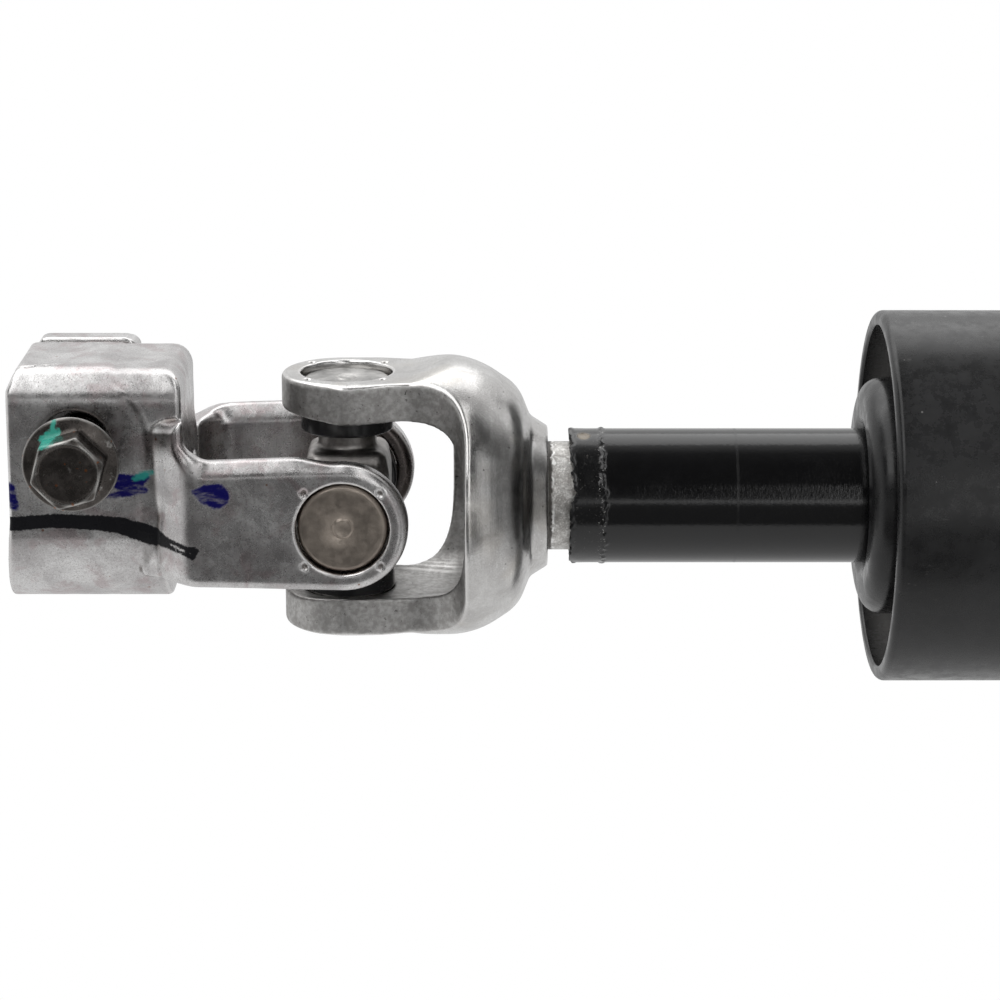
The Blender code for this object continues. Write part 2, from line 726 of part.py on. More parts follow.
def tube_sleeve():
    """The plastic sleeve on the tube, torn at its lower end."""
    start = SLEEVE_START - JOINT_SPAN / 2
    inner = TUBE_RADIUS + FIT
    profile = [(SLEEVE_RADIUS, SLEEVE_END), (SLEEVE_RADIUS, start), (inner, start), (inner, SLEEVE_END)]
    mesh = turned("tube_sleeve", profile, MEDIUM, "X", hollow=True).finished()
    for vertex in mesh.vertices:
        if vertex.co.x < start + MERGE:
            angle = math.atan2(vertex.co.z, vertex.co.y)
            ragged = math.sin(3 * angle) + math.sin(7 * angle + 1) + math.sin(13 * angle + 2)
            vertex.co.x += TORN_DEPTH * (1 + ragged / 3) / 2
    return mesh


def sliding_bar():
    """The splined bar that slides in the tube, drawn in the upper joint's frame."""
    shoulder = BELL_LENGTH + JOURNAL_PAST_HUB
    taper = shoulder + JOURNAL_TAPER
    tip = JOINT_SPAN / 2 - BAR_TIP
    root = SPLINE_TIP - SPLINE_DEPTH
    journal = turned("sliding_bar", [
        (0, taper + BAR_TIP_CHAMFER),
        (root, taper + BAR_TIP_CHAMFER),
        (SPLINE_TIP, taper),
        (TUBE_RADIUS, shoulder),
        (TUBE_RADIUS, BELL_FLOOR + FIT),
        (0, BELL_FLOOR + FIT),
    ], SMALL, "X")
    splines = pushed("splines", spline_outline(0), taper - OVERRUN, tip, "X")
    splines.keep(turned("tip_chamfer", [
        (0, tip),
        (SPLINE_TIP - BAR_TIP_CHAMFER, tip),
        (SPLINE_TIP + BAR_TIP_CHAMFER, tip - 2 * BAR_TIP_CHAMFER),
        (SPLINE_TIP + BAR_TIP_CHAMFER, 0),
        (0, 0),
    ], SMALL, "X"))
    return journal.join(splines).finished()


def dash_seal():
    """The rubber seal at the bulkhead: skirt, web and hub, with a groove for its bush."""
    outer = SEAL_DIAMETER / 2
    inner = outer - SKIRT_WALL
    hub = HUB_DIAMETER / 2
    mouth = SLEEVE_RADIUS + HUB_LIP
    groove = SLEEVE_RADIUS + RUNNING + BUSH_WALL + FIT
    web_front = -SKIRT_END + WEB_FROM_RIM
    web_rear = web_front + WEB_THICKNESS
    hub_rear = HUB_FRONT + HUB_LENGTH
    groove_front = HUB_FRONT + BUSH_SETBACK - FIT
    groove_rear = HUB_FRONT + BUSH_SETBACK + BUSH_LENGTH + FIT
    front_edge = (outer - SKIRT_ROUNDING, -SKIRT_END + SKIRT_ROUNDING)
    hub_edge = (hub - HUB_ROUNDING, HUB_FRONT + HUB_ROUNDING)
    profile = [(outer, SKIRT_END)]
    profile += arc(front_edge, SKIRT_ROUNDING, 0, -90, EDGE_COUNT)
    profile += [(inner, -SKIRT_END), (inner, web_front), (hub, web_front)]
    profile += arc(hub_edge, HUB_ROUNDING, 0, -90)
    profile += [
        (mouth, HUB_FRONT),
        (mouth, groove_front),
        (groove, groove_front),
        (groove, groove_rear),
        (mouth, groove_rear),
        (mouth, hub_rear),
        (hub, hub_rear),
        (hub, web_rear),
        (inner, web_rear),
        (inner, SKIRT_END),
    ]
    return turned("dash_seal", profile, MEDIUM, "X", hollow=True).finished()


def seal_bush():
    """The plastic bush held in the seal's hub, running on the sleeve."""
    front = HUB_FRONT + BUSH_SETBACK
    rear = front + BUSH_LENGTH
    inner = SLEEVE_RADIUS + RUNNING
    outer = inner + BUSH_WALL
    profile = [(outer, rear), (outer, front), (inner, front), (inner, rear)]
    return turned("dash_seal_bush", profile, MEDIUM, "X", hollow=True).finished()


def frame(name, parent=None, x=0.0, turn=0.0):
    """An empty that carries pieces, turned about Z."""
    empty = bpy.data.objects.new(name, None)
    bpy.data.collections["intermediate_steering_shaft"].objects.link(empty)
    empty.parent = parent
    empty.location = (x, 0, 0)
    empty.rotation_euler = (0, 0, turn)
    return empty


def piece(name, mesh, material, carrier, location=(0, 0, 0), rotation=(0, 0, 0)):
    """One named sub-part on its carrier."""
    if not mesh.materials:
        mesh.materials.append(material)
    obj = bpy.data.objects.new(name, mesh)
    bpy.data.collections["intermediate_steering_shaft"].objects.link(obj)
    obj.parent = carrier
    obj.location = location
    obj.rotation_euler = rotation
    return obj


def joint_end(prefix, meshes, materials, joint):
    """One universal joint with its two yokes, in the frame of its joint."""
    quarter = math.pi / 2
    bell_ears = {"top": (0, 0, 0), "bottom": (2 * quarter, 0, 0)}
    clamp_ears = {"front": (quarter, 0, 0), "rear": (-quarter, 0, 0)}
    cross_pivot = frame(prefix + "_cross_pivot", joint)
    clamp_pivot = frame(prefix + "_clamp_pivot", cross_pivot)
    piece(prefix + "_bell_yoke", meshes["bell_yoke"], materials["bright"], joint)
    piece(prefix + "_cross", meshes["cross"], materials["ground"], cross_pivot)
    piece(prefix + "_clamp_yoke", meshes["clamp_yoke"], materials["forged"], clamp_pivot)
    for carrier, yoke, ears in ((joint, "bell", bell_ears), (clamp_pivot, "clamp", clamp_ears)):
        for side, turn in ears.items():
            name = f"{prefix}_{yoke}_cup_{side}"
            piece(name, meshes["bearing_cup"], materials["cup"], carrier, rotation=turn)
            name = f"{prefix}_seal_{side}"
            piece(name, meshes["trunnion_seal"], materials["rubber"], cross_pivot, rotation=turn)
    head = (-BOLT_FROM_JOINT, -CLAMP_HALF_WIDTH - BOLT_BACKED_OUT, BOLT_HEIGHT)
    turn = (quarter, -BOLT_TURN, 0)
    piece(prefix + "_pinch_bolt", meshes["pinch_bolt"], materials["bolt"], clamp_pivot, head, turn)


def main():
    """Build the shaft."""
    clear_scene()
    new_collection("intermediate_steering_shaft")
    workshop = new_collection("workshop")
    materials = {
        "bright": steel("polished_steel", (0.60, 0.59, 0.57), 0.28),
        "forged": steel("forged_steel", (0.46, 0.45, 0.43), 0.42),
        "ground": steel("ground_steel", (0.42, 0.41, 0.39), 0.30),
        "cup": steel("bearing_steel", (0.30, 0.28, 0.25), 0.38),
        "bolt": steel("phosphated_steel", (0.10, 0.09, 0.09), 0.45),
        "tube": steel("drawn_steel", (0.55, 0.54, 0.52), 0.35),
        "rubber": finish("seal_rubber", (0.02, 0.02, 0.02), 0.60),
        "sleeve": finish("sleeve_plastic", (0.010, 0.010, 0.011), 0.22),
        "dash": finish("dash_rubber", (0.022, 0.022, 0.023), 0.55),
        "bush": finish("bush_plastic", (0.70, 0.68, 0.62), 0.45),
    }
    builders = (bell_yoke, clamp_yoke, cross, bearing_cup, trunnion_seal, pinch_bolt)
    meshes = {builder.__name__: builder() for builder in builders}
    shaft = frame("shaft")
    lower_joint = frame("lower_joint", shaft, -JOINT_SPAN / 2)
    slide = frame("upper_slide", shaft)
    upper_joint = frame("upper_joint", slide, JOINT_SPAN / 2, math.pi)
    seal_pivot = frame("dash_seal_pivot", shaft)
    joint_end("lower", meshes, materials, lower_joint)
    joint_end("upper", meshes, materials, upper_joint)
    piece("shaft_tube", shaft_tube(), materials["tube"], shaft)
    piece("tube_sleeve", tube_sleeve(), materials["sleeve"], shaft)
    piece("sliding_bar", sliding_bar(), materials["ground"], upper_joint)
    piece("dash_seal", dash_seal(), materials["dash"], seal_pivot)
    piece("dash_seal_bush", seal_bush(), materials["bush"], seal_pivot)
    bpy.data.collections.remove(workshop)


main()
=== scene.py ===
"""Dressed scene of an intermediate steering shaft: clamp yoke, universal joint, sleeve and dash seal."""

import itertools
import logging
import math
from collections.abc import Iterable
from dataclasses import dataclass, field
from enum import Enum

import bpy
import numpy as np
from mathutils import Matrix, Vector


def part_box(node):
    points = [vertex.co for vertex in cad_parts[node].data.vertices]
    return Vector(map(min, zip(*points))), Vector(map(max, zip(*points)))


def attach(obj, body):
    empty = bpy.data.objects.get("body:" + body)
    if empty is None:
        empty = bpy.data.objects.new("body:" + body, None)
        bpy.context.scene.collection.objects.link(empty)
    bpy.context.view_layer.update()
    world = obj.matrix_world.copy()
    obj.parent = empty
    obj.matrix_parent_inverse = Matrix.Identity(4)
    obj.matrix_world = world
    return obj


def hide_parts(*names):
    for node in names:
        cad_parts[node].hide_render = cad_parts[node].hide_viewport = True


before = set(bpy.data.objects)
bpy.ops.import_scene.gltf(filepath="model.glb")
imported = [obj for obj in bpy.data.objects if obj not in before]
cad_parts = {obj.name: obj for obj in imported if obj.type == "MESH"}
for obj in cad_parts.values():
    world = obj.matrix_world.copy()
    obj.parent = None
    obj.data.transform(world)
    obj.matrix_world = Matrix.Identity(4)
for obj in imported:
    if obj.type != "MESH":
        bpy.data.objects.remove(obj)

logging.basicConfig(level=logging.INFO, format="%(message)s")
log = logging.getLogger("scene")

MILLIMETRE = 0.001
JOINT_X = 130.0
FLOOR_Z = -0.085
SHARP_ANGLE = math.radians(32)
# FAR is past every piece across the shaft, UNMARKED the distance to an ink where it isn't, in millimetres
FAR = 60.0
UNMARKED = 9.0
Array = np.ndarray
Outline = list[tuple[float, float]]
Triple = tuple[float, float, float]
Material = bpy.types.Material
Piece = bpy.types.Object
Socket = bpy.types.NodeSocket


class End(Enum):
    """The two ends of the shaft.

    Each has its name, half turn about Z, place along X, bell yoke's body, and how much wider the points of
    its yokes and of its bolt are spaced.
    """

    LOWER = ("lower", 0.0, -JOINT_X, "shaft", 1.0, 1.0)
    UPPER = ("upper", math.pi, JOINT_X, "sliding_end", 1.6, 1.3)

    def __init__(self, prefix: str, turn: float, x: float, body: str, coarse: float, bolt: float) -> None:
        self.prefix = prefix
        self.turn = turn
        self.x = x
        self.bell_body = body
        self.coarseness = coarse
        self.bolt_coarseness = bolt

    def placement(self) -> Matrix:
        """The matrix from the joint's own frame to the row frame, both in millimetres."""
        return Matrix.Translation((self.x, 0, 0)) @ Matrix.Rotation(self.turn, 4, "Z")


class Ear(Enum):
    """The four ears of a joint: yoke, side and turn about X from +Z."""

    TOP = ("bell", "top", 0.0)
    BOTTOM = ("bell", "bottom", math.pi)
    FRONT = ("clamp", "front", math.pi / 2)
    REAR = ("clamp", "rear", -math.pi / 2)

    def __init__(self, yoke: str, side: str, turn: float) -> None:
        self.yoke = yoke
        self.side = side
        self.turn = turn

    def placement(self) -> Matrix:
        """The matrix that turns +Z to this ear's axis."""
        return Matrix.Rotation(self.turn, 4, "X")


# Outlines, in millimetres


def arc(centre: tuple[float, float], radius: float, start: float, end: float, step: float = 5.0) -> Outline:
    """Points on an arc.

    Args:
        centre: The arc's centre.
        radius: Its radius.
        start: First angle in degrees.
        end: Last angle in degrees.
        step: Largest step in degrees.

    Returns:
        The points, both ends included.
    """
    steps = max(1, math.ceil(abs(end - start) / step - 0.001))
    angles = [math.radians(start + (end - start) * index / steps) for index in range(steps + 1)]
    return [(centre[0] + radius * math.cos(a), centre[1] + radius * math.sin(a)) for a in angles]


def eased(start: tuple[float, float], end: tuple[float, float], steps: int = 12) -> Outline:
    """Points of a smooth step, level at both ends.

    Args:
        start: First point.
        end: Last point.
        steps: Number of steps.

    Returns:
        The points, both ends included.
    """
    points = []
    for index in range(steps + 1):
        share = index / steps
        rise = share * share * (3 - 2 * share)
        points.append((start[0] + (end[0] - start[0]) * share, start[1] + (end[1] - start[1]) * rise))
    return points


def rounded(corners: list[Triple]) -> Outline:
    """A closed outline with rounded corners.

    Args:
        corners: (a, b, fillet radius) of each corner.

    Returns:
        The outline's points.
    """
    points: Outline = []
    for index, (a, b, radius) in enumerate(corners):
        here = Vector((a, b))
        if radius == 0:
            points.append((a, b))
            continue
        back = Vector(corners[index - 1][:2]) - here
        ahead = Vector(corners[(index + 1) % len(corners)][:2]) - here
        half = back.angle(ahead) / 2
        reach = min(radius / math.tan(half), 0.49 * back.length, 0.49 * ahead.length)
        fillet = reach * math.tan(half)
        centre = here + (back.normalized() + ahead.normalized()).normalized() * fillet / math.sin(half)
        first = here + back.normalized() * reach - centre
        last = here + ahead.normalized() * reach - centre
        begin = math.atan2(first.y, first.x)
        turn = math.remainder(math.atan2(last.y, last.x) - begin, 2 * math.pi)
        points += arc(tuple(centre), fillet, math.degrees(begin), math.degrees(begin + turn))
    return points


# Distance fields, in millimetres


def union(a: Array, b: Array, radius: float = 0.0) -> Array:
    """Both solids, with a fillet where they meet.

    Args:
        a: Signed distance to one solid.
        b: Signed distance to the other.
        radius: Fillet radius.

    Returns:
        Signed distance to the joined solid.
    """
    if radius == 0:
        return np.minimum(a, b)
    return np.maximum(radius, np.minimum(a, b)) - np.hypot(
        np.maximum(radius - a, 0), np.maximum(radius - b, 0)
    )


def common(a: Array, b: Array, radius: float = 0.0) -> Array:
    """Signed distance to what two solids share, with its new edges rounded."""
    return -union(-a, -b, radius)


def without(a: Array, b: Array, radius: float = 0.0) -> Array:
    """Signed distance to the first solid less the second, with its new edges rounded."""
    return common(a, -b, radius)


def outline_distance(outline: Outline, a: Array, b: Array) -> Array:
    """Signed distance to a closed outline.

    Args:
        outline: The outline's points.
        a: First coordinate of the samples.
        b: Second coordinate, broadcast against the first.

    Returns:
        Distance at each sample, negative inside.
    """
    a, b = np.broadcast_arrays(a.astype(np.float64), b.astype(np.float64))
    nearest = np.full(a.shape, np.inf)
    inside = np.zeros(a.shape, bool)
    for (a0, b0), (a1, b1) in zip(outline, outline[1:] + outline[:1]):
        run_a, run_b = a1 - a0, b1 - b0
        length = run_a * run_a + run_b * run_b
        if length < 1e-12:
            continue
        share = np.clip(((a - a0) * run_a + (b - b0) * run_b) / length, 0, 1)
        nearest = np.minimum(nearest, (a - a0 - share * run_a) ** 2 + (b - b0 - share * run_b) ** 2)
        if b0 != b1:
            crosses = (b0 > b) != (b1 > b)
            inside ^= crosses & (a < run_a * (b - b0) / run_b + a0)
    return np.where(inside, -1, 1) * np.sqrt(nearest)


@dataclass
class Shell:
    """A surface in millimetres: points, faces, and what is known at each point."""

    points: Array
    faces: Array
    normals: Array | None = None
    values: dict[str, Array] = field(default_factory=dict)

    def moved(self, placement: Matrix) -> "Shell":
        """The same surface somewhere else.

        Args:
            placement: A rigid move.

        Returns:
            The moved surface.
        """
        turn = np.array(placement.to_3x3())
        normals = None if self.normals is None else self.normals @ turn.T
        points = self.points @ turn.T + np.array(placement.translation)
        return Shell(points, self.faces, normals, self.values)


class Space:
    """A block of space sampled at an even spacing, where solids are signed distances in millimetres."""

    def __init__(self, low: Triple, high: Triple, pitch: float) -> None:
        self.low = np.array(low, float)
        self.pitch = pitch
        counts = np.ceil((np.array(high) - self.low) / pitch).astype(int) + 1
        axes = [self.low[i] + pitch * np.arange(counts[i]) for i in range(3)]
        self.x = axes[0][:, None, None]
        self.y = axes[1][None, :, None]
        self.z = axes[2][None, None, :]
        self.along = {"X": self.x, "Y": self.y, "Z": self.z}
        self.across = {"X": (self.y, self.z), "Y": (self.x, self.z), "Z": (self.x, self.y)}
        self.shape = tuple(counts)

    def pushed(self, axis: str, outline: Outline) -> Array:
        """Distance to an endless prism along an axis, with its outline in YZ, XZ or XY."""
        return outline_distance(outline, *self.across[axis])

    def turned(self, outline: Outline) -> Array:
        """A solid turned about X.

        Args:
            outline: (along, radius) points from the axis round to the axis.

        Returns:
            Signed distance.
        """
        mirrored = [(along, -radius) for along, radius in reversed(outline) if radius > 0]
        radii = np.hypot(self.y, self.z)[0]
        rings = np.arange(0, radii.max() + self.pitch, self.pitch / 2)
        flat = outline_distance(outline + mirrored, self.x[:, :, 0], rings[None, :])
        place = radii / (self.pitch / 2)
        ring = np.minimum(place.astype(int), len(rings) - 2)
        share = place - ring
        return flat[:, ring] * (1 - share) + flat[:, ring + 1] * share

    def rod(self, axis: str, radius: float, centre: tuple[float, float] = (0, 0)) -> Array:
        """Distance to an endless round rod along an axis."""
        a, b = self.across[axis]
        return np.hypot(a - centre[0], b - centre[1]) - radius

    def between(self, axis: str, low: float, high: float) -> Array:
        """Distance to the space between two planes across an axis."""
        return np.abs(self.along[axis] - (low + high) / 2) - (high - low) / 2

    def drum(self, axis: str, radius: float, low: float, high: float, edge: float = 0.0) -> Array:
        """Distance to a round rod that ends at two planes, with rounded edges."""
        return common(self.rod(axis, radius), self.between(axis, low, high), edge)

    def ball(self, centre: Triple, radius: float) -> Array:
        """Distance to a ball."""
        across = (self.x - centre[0]) ** 2 + (self.y - centre[1]) ** 2 + (self.z - centre[2]) ** 2
        return np.sqrt(across) - radius

    def sampled(self, values: Array, points: Array) -> Array:
        """Values between the samples.

        Args:
            values: One value at each sample.
            points: Where they are wanted.

        Returns:
            The value at each point.
        """
        place = np.clip((points - self.low) / self.pitch, 0, np.array(self.shape) - 1.001)
        cell = place.astype(int)
        share = place - cell
        result = np.zeros(len(points))
        for corner in itertools.product((0, 1), repeat=3):
            weight = np.prod([share[:, i] if c else 1 - share[:, i] for i, c in enumerate(corner)], axis=0)
            result += weight * values[cell[:, 0] + corner[0], cell[:, 1] + corner[1], cell[:, 2] + corner[2]]
        return result

    def skinned(self, distance: Array) -> Shell:
        """The surface of a solid, laid on its zero level.

        Args:
            distance: Signed distance at each sample.

        Returns:
            The surface, with its normals and how convex it is.
        """
        values = np.broadcast_to(distance, self.shape).astype(np.float32)
        inside = values < 0
        corners = list(itertools.product((0, 1), repeat=3))
        size = np.array(self.shape) - 1
        total = sum(
            inside[i : size[0] + i, j : size[1] + j, k : size[2] + k].astype(np.int8) for i, j, k in corners
        )
        active = (total > 0) & (total < 8)
        cells = np.argwhere(active)
        names = np.full(active.shape, -1, np.int64)
        names[active] = np.arange(len(cells))
        at = np.stack([values[cells[:, 0] + i, cells[:, 1] + j, cells[:, 2] + k] for i, j, k in corners], 1)
        place = np.zeros((len(cells), 3))
        count = np.zeros(len(cells))
        for first, last in itertools.combinations(range(8), 2):
            step = np.array(corners[last]) - np.array(corners[first])
            if np.abs(step).sum() != 1:
                continue
            crosses = (at[:, first] < 0) != (at[:, last] < 0)
            share = at[crosses, first] / (at[crosses, first] - at[crosses, last])
            place[crosses] += np.array(corners[first]) + share[:, None] * step
            count += crosses
        points = self.low + self.pitch * (cells + place / count[:, None])
        quads = []
        for axis in range(3):
            u, v = (axis + 1) % 3, (axis + 2) % 3
            starts = np.moveaxis(inside, axis, 0)[:-1]
            ends = np.moveaxis(inside, axis, 0)[1:]
            edges = np.argwhere(np.moveaxis(starts != ends, 0, axis))
            for across in (u, v):
                edges = edges[(edges[:, across] > 0) & (edges[:, across] < size[across])]
            along_u, along_v = np.eye(3, dtype=int)[u], np.eye(3, dtype=int)[v]
            turns = ((0, 0), (1, 0), (1, 1), (0, 1))
            ring = [names[tuple((edges - du * along_u - dv * along_v).T)] for du, dv in turns]
            quad = np.stack(ring, 1)
            outward = inside[tuple(edges.T)]
            quads.append(np.where(outward[:, None], quad, quad[:, ::-1]))
        slopes = np.gradient(values, self.pitch)
        for _ in range(2):
            normal = np.stack([self.sampled(slope, points) for slope in slopes], 1)
            length = np.maximum((normal**2).sum(1), 0.05)
            step = self.sampled(values, points) / length
            points = points - np.clip(step, -self.pitch / 2, self.pitch / 2)[:, None] * normal
        normal = np.stack([self.sampled(slope, points) for slope in slopes], 1)
        normal /= np.maximum(np.linalg.norm(normal, axis=1), 1e-9)[:, None]
        bend = sum(np.gradient(slope, self.pitch, axis=i) for i, slope in enumerate(slopes))
        return Shell(points, np.vstack(quads), normal, {"convex": self.sampled(bend, points)})


def lathe(outline: Outline, segments: int, axis: str = "Z") -> Shell:
    """A closed solid turned about an axis.

    Args:
        outline: (radius, along) points of a closed loop, or from the axis round to the axis.
        segments: Facets round a full turn.
        axis: The axis of the turning.

    Returns:
        The surface, facing outwards.
    """
    open_ended = outline[0][0] == 0
    rings, points = [], []
    angles = 2 * np.pi * np.arange(segments) / segments
    for radius, along in outline:
        count = 1 if radius == 0 else segments
        rings.append(len(points) + np.arange(count) if count > 1 else np.full(segments, len(points)))
        turned = [(radius * math.cos(a), radius * math.sin(a), along) for a in angles[:count]]
        points += turned
    faces = []
    pairs = list(zip(rings, rings[1:])) + ([] if open_ended else [(rings[-1], rings[0])])
    for upper, lower in pairs:
        faces.append(np.stack([upper, lower, np.roll(lower, -1), np.roll(upper, -1)], 1))
    shell = Shell(np.array(points), np.vstack(faces))
    turn = {"Z": Matrix.Identity(4), "X": Matrix.Rotation(math.pi / 2, 4, "Y")}[axis]
    return shell.moved(turn)


def published(name: str, shell: Shell, material: Material, by_angle: bool = False) -> Piece:
    """A Blender object of a surface.

    Args:
        name: The piece's name.
        shell: Its surface in millimetres, in the row frame.
        material: Its finish.
        by_angle: Whether edges sharper than SHARP_ANGLE stay sharp.

    Returns:
        The object, at the origin.
    """
    mesh = bpy.data.meshes.new(name)
    faces = [tuple(dict.fromkeys(face)) for face in shell.faces.tolist()]
    mesh.from_pydata((shell.points * MILLIMETRE).tolist(), [], [face for face in faces if len(face) > 2])
    mesh.update()
    mesh.shade_smooth()
    if by_angle:
        mesh.set_sharp_from_angle(angle=SHARP_ANGLE)
    elif shell.normals is not None:
        mesh.normals_split_custom_set_from_vertices(shell.normals.tolist())
    for key, values in shell.values.items():
        attribute = mesh.attributes.new(key, "FLOAT", "POINT")
        attribute.data.foreach_set("value", values.astype(np.float32))
    mesh.materials.append(material)
    obj = bpy.data.objects.new(name, mesh)
    bpy.context.scene.collection.objects.link(obj)
    return obj


def placed(obj: Piece, body: str, slot: str, *nodes: str) -> Piece:
    """Put a finished piece on its body.

    Args:
        obj: The piece.
        body: The body it rides on.
        slot: The record's material slot; not used.
        nodes: The solids that it stands for.

    Returns:
        The piece.
    """
    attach(obj, body)
    if nodes:
        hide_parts(*nodes)
    log.info("%s: %d faces on %s", obj.name, len(obj.data.polygons), body)
    return obj


# Finishes


class Nodes:
    """A shader node tree, written as expressions."""

    def __init__(self, tree: bpy.types.NodeTree, coordinates: str) -> None:
        self.tree = tree
        self.where = self.node("ShaderNodeTexCoord").outputs[coordinates]

    def node(self, kind: str) -> bpy.types.Node:
        """Add a node by Blender's name for it."""
        return self.tree.nodes.new(kind)

    def link(self, value: object, socket: Socket) -> None:
        """Feed a socket.

        Args:
            value: A socket, a number or a colour.
            socket: The socket to feed.
        """
        if isinstance(value, Socket):
            self.tree.links.new(value, socket)
        elif isinstance(value, tuple) and len(value) == 3 and socket.type == "RGBA":
            socket.default_value = (*value, 1.0)
        else:
            socket.default_value = value

    def feed(self, node: bpy.types.Node, inputs: dict[str | int, object]) -> Socket:
        """Feed a node's inputs.

        Args:
            node: The node.
            inputs: What goes into each input.

        Returns:
            The node's first output.
        """
        for key, value in inputs.items():
            self.link(value, node.inputs[key])
        return node.outputs[0]

    def axis(self, name: str) -> Socket:
        """One of the coordinates.

        Args:
            name: X, Y or Z.

        Returns:
            The coordinate.
        """
        node = self.node("ShaderNodeSeparateXYZ")
        self.link(self.where, node.inputs[0])
        return node.outputs[name]

    def math(self, operation: str, a: object, b: object) -> Socket:
        """Arithmetic.

        Args:
            operation: Blender's name of the operation.
            a: First value.
            b: Second value.

        Returns:
            The result.
        """
        node = self.node("ShaderNodeMath")
        node.operation = operation
        return self.feed(node, {0: a, 1: b})

    def times(self, a: object, b: object) -> Socket:
        """The product of two values."""
        return self.math("MULTIPLY", a, b)

    def plus(self, a: object, b: object) -> Socket:
        """The sum of two values."""
        return self.math("ADD", a, b)

    def less(self, a: object, b: object) -> Socket:
        """The first value less the second."""
        return self.math("SUBTRACT", a, b)

    def step(self, value: object, start: float, end: float, low: float = 0.0, high: float = 1.0) -> Socket:
        """A smooth step.

        Args:
            value: What is mapped.
            start: Where the step starts.
            end: Where it ends.
            low: Result before it.
            high: Result after it.

        Returns:
            The mapped value.
        """
        node = self.node("ShaderNodeMapRange")
        node.interpolation_type = "SMOOTHSTEP"
        limits = {"From Min": start, "From Max": end, "To Min": low, "To Max": high}
        return self.feed(node, {"Value": value} | limits)

    def inside(self, value: object, low: float, high: float, soft: float) -> Socket:
        """Whether a value lies between two others.

        Args:
            value: What is tested.
            low: The lower end.
            high: The higher end.
            soft: Half the width of each end's smooth step.

        Returns:
            One between them and zero outside.
        """
        rise = self.step(value, low - soft, low + soft)
        fall = self.step(value, high - soft, high + soft, 1.0, 0.0)
        return self.times(rise, fall)

    def mix(self, share: object, a: object, b: object) -> Socket:
        """A mix of two colours.

        Args:
            share: Share of the second.
            a: First colour.
            b: Second colour.

        Returns:
            The colour.
        """
        node = self.node("ShaderNodeMix")
        node.data_type = "RGBA"
        self.feed(node, {0: share, 6: a, 7: b})
        return node.outputs[2]

    def seen(self, others: Socket, camera: Socket) -> Socket:
        """One shader for the camera and another for every other ray."""
        camera_ray = self.node("ShaderNodeLightPath").outputs["Is Camera Ray"]
        return self.feed(self.node("ShaderNodeMixShader"), {0: camera_ray, 1: others, 2: camera})


@dataclass(frozen=True)
class Layer:
    """A tone laid over a finish.

    Attributes:
        pattern: The pattern that it follows.
        tone: The tone.
        step: Start and end of a smooth step in the pattern, and how much of the tone shows before and after
            it. Without one, the pattern itself says how much.
        within: A second pattern with the start and end of its step, before which nothing shows.
    """

    pattern: str
    tone: Triple
    step: tuple[float, float, float, float] | None = None
    within: tuple[str, float, float] | None = None


class Graph(Nodes):
    """A material's nodes round its Principled shader."""

    def __init__(self, name: str) -> None:
        self.material = bpy.data.materials.new(name)
        self.material.use_nodes = True
        super().__init__(self.material.node_tree, "Object")
        self.shader = self.tree.nodes["Principled BSDF"]

    def noise(
        self,
        size: float,
        detail: float = 3.0,
        rough: float = 0.55,
        warp: float = 0.0,
        factors: Triple = (1.0, 1.0, 1.0),
    ) -> Socket:
        """Cloudy noise.

        Args:
            size: Size of its features in millimetres.
            detail: Number of finer layers.
            rough: How strong the finer layers are.
            warp: How much it is twisted.
            factors: Stretch of each axis.

        Returns:
            A value round 0.5.
        """
        stretch = self.node("ShaderNodeVectorMath")
        stretch.operation = "MULTIPLY"
        where = self.feed(stretch, {0: self.where, 1: factors})
        inputs = {"Vector": where, "Scale": 1 / (size * MILLIMETRE)}
        inputs |= {"Detail": detail, "Roughness": rough, "Distortion": warp}
        return self.feed(self.node("ShaderNodeTexNoise"), inputs)

    def spots(self, spacing: float) -> Socket:
        """Distance to scattered points, as a share of their mean spacing in millimetres."""
        inputs = {"Vector": self.where, "Scale": 1 / (spacing * MILLIMETRE)}
        return self.feed(self.node("ShaderNodeTexVoronoi"), inputs)

    def value(self, name: str) -> Socket:
        """A value stored on the surface.

        Args:
            name: The attribute's name.

        Returns:
            The value.
        """
        node = self.node("ShaderNodeAttribute")
        node.attribute_name = name
        return node.outputs["Fac"]

    def painted(self, base: Triple, layers: Iterable[Layer], patterns: dict[str, Socket]) -> Socket:
        """Lay one tone after another.

        Args:
            base: The tone under the layers.
            layers: The layers.
            patterns: The patterns that they follow.

        Returns:
            The colour.
        """
        colour: object = base
        for layer in layers:
            cover = patterns[layer.pattern]
            if layer.step:
                cover = self.step(cover, *layer.step)
            if layer.within:
                pattern, start, end = layer.within
                cover = self.times(cover, self.step(patterns[pattern], start, end))
            colour = self.mix(cover, colour, layer.tone)
        return colour

    def bump(self, height: Socket, depth: float) -> None:
        """Relief on the surface, over any relief already there.

        Args:
            height: The relief, from 0 to 1.
            depth: Its depth in millimetres.
        """
        node = self.node("ShaderNodeBump")
        raised = self.feed(node, {"Distance": depth * MILLIMETRE, "Height": height})
        before = self.shader.inputs["Normal"].links
        if before:
            self.link(before[0].from_socket, node.inputs["Normal"])
        self.link(raised, self.shader.inputs["Normal"])

    def finished(self, colour: object, roughness: object, metallic: object, gloss: object = 0.5) -> Material:
        """Feed the shader.

        Args:
            colour: Base colour.
            roughness: Roughness.
            metallic: Metallic.
            gloss: Specular level.

        Returns:
            The material.
        """
        inputs = {"Base Color": colour, "Roughness": roughness, "Metallic": metallic}
        self.feed(self.shader, inputs | {"Specular IOR Level": gloss})
        return self.material


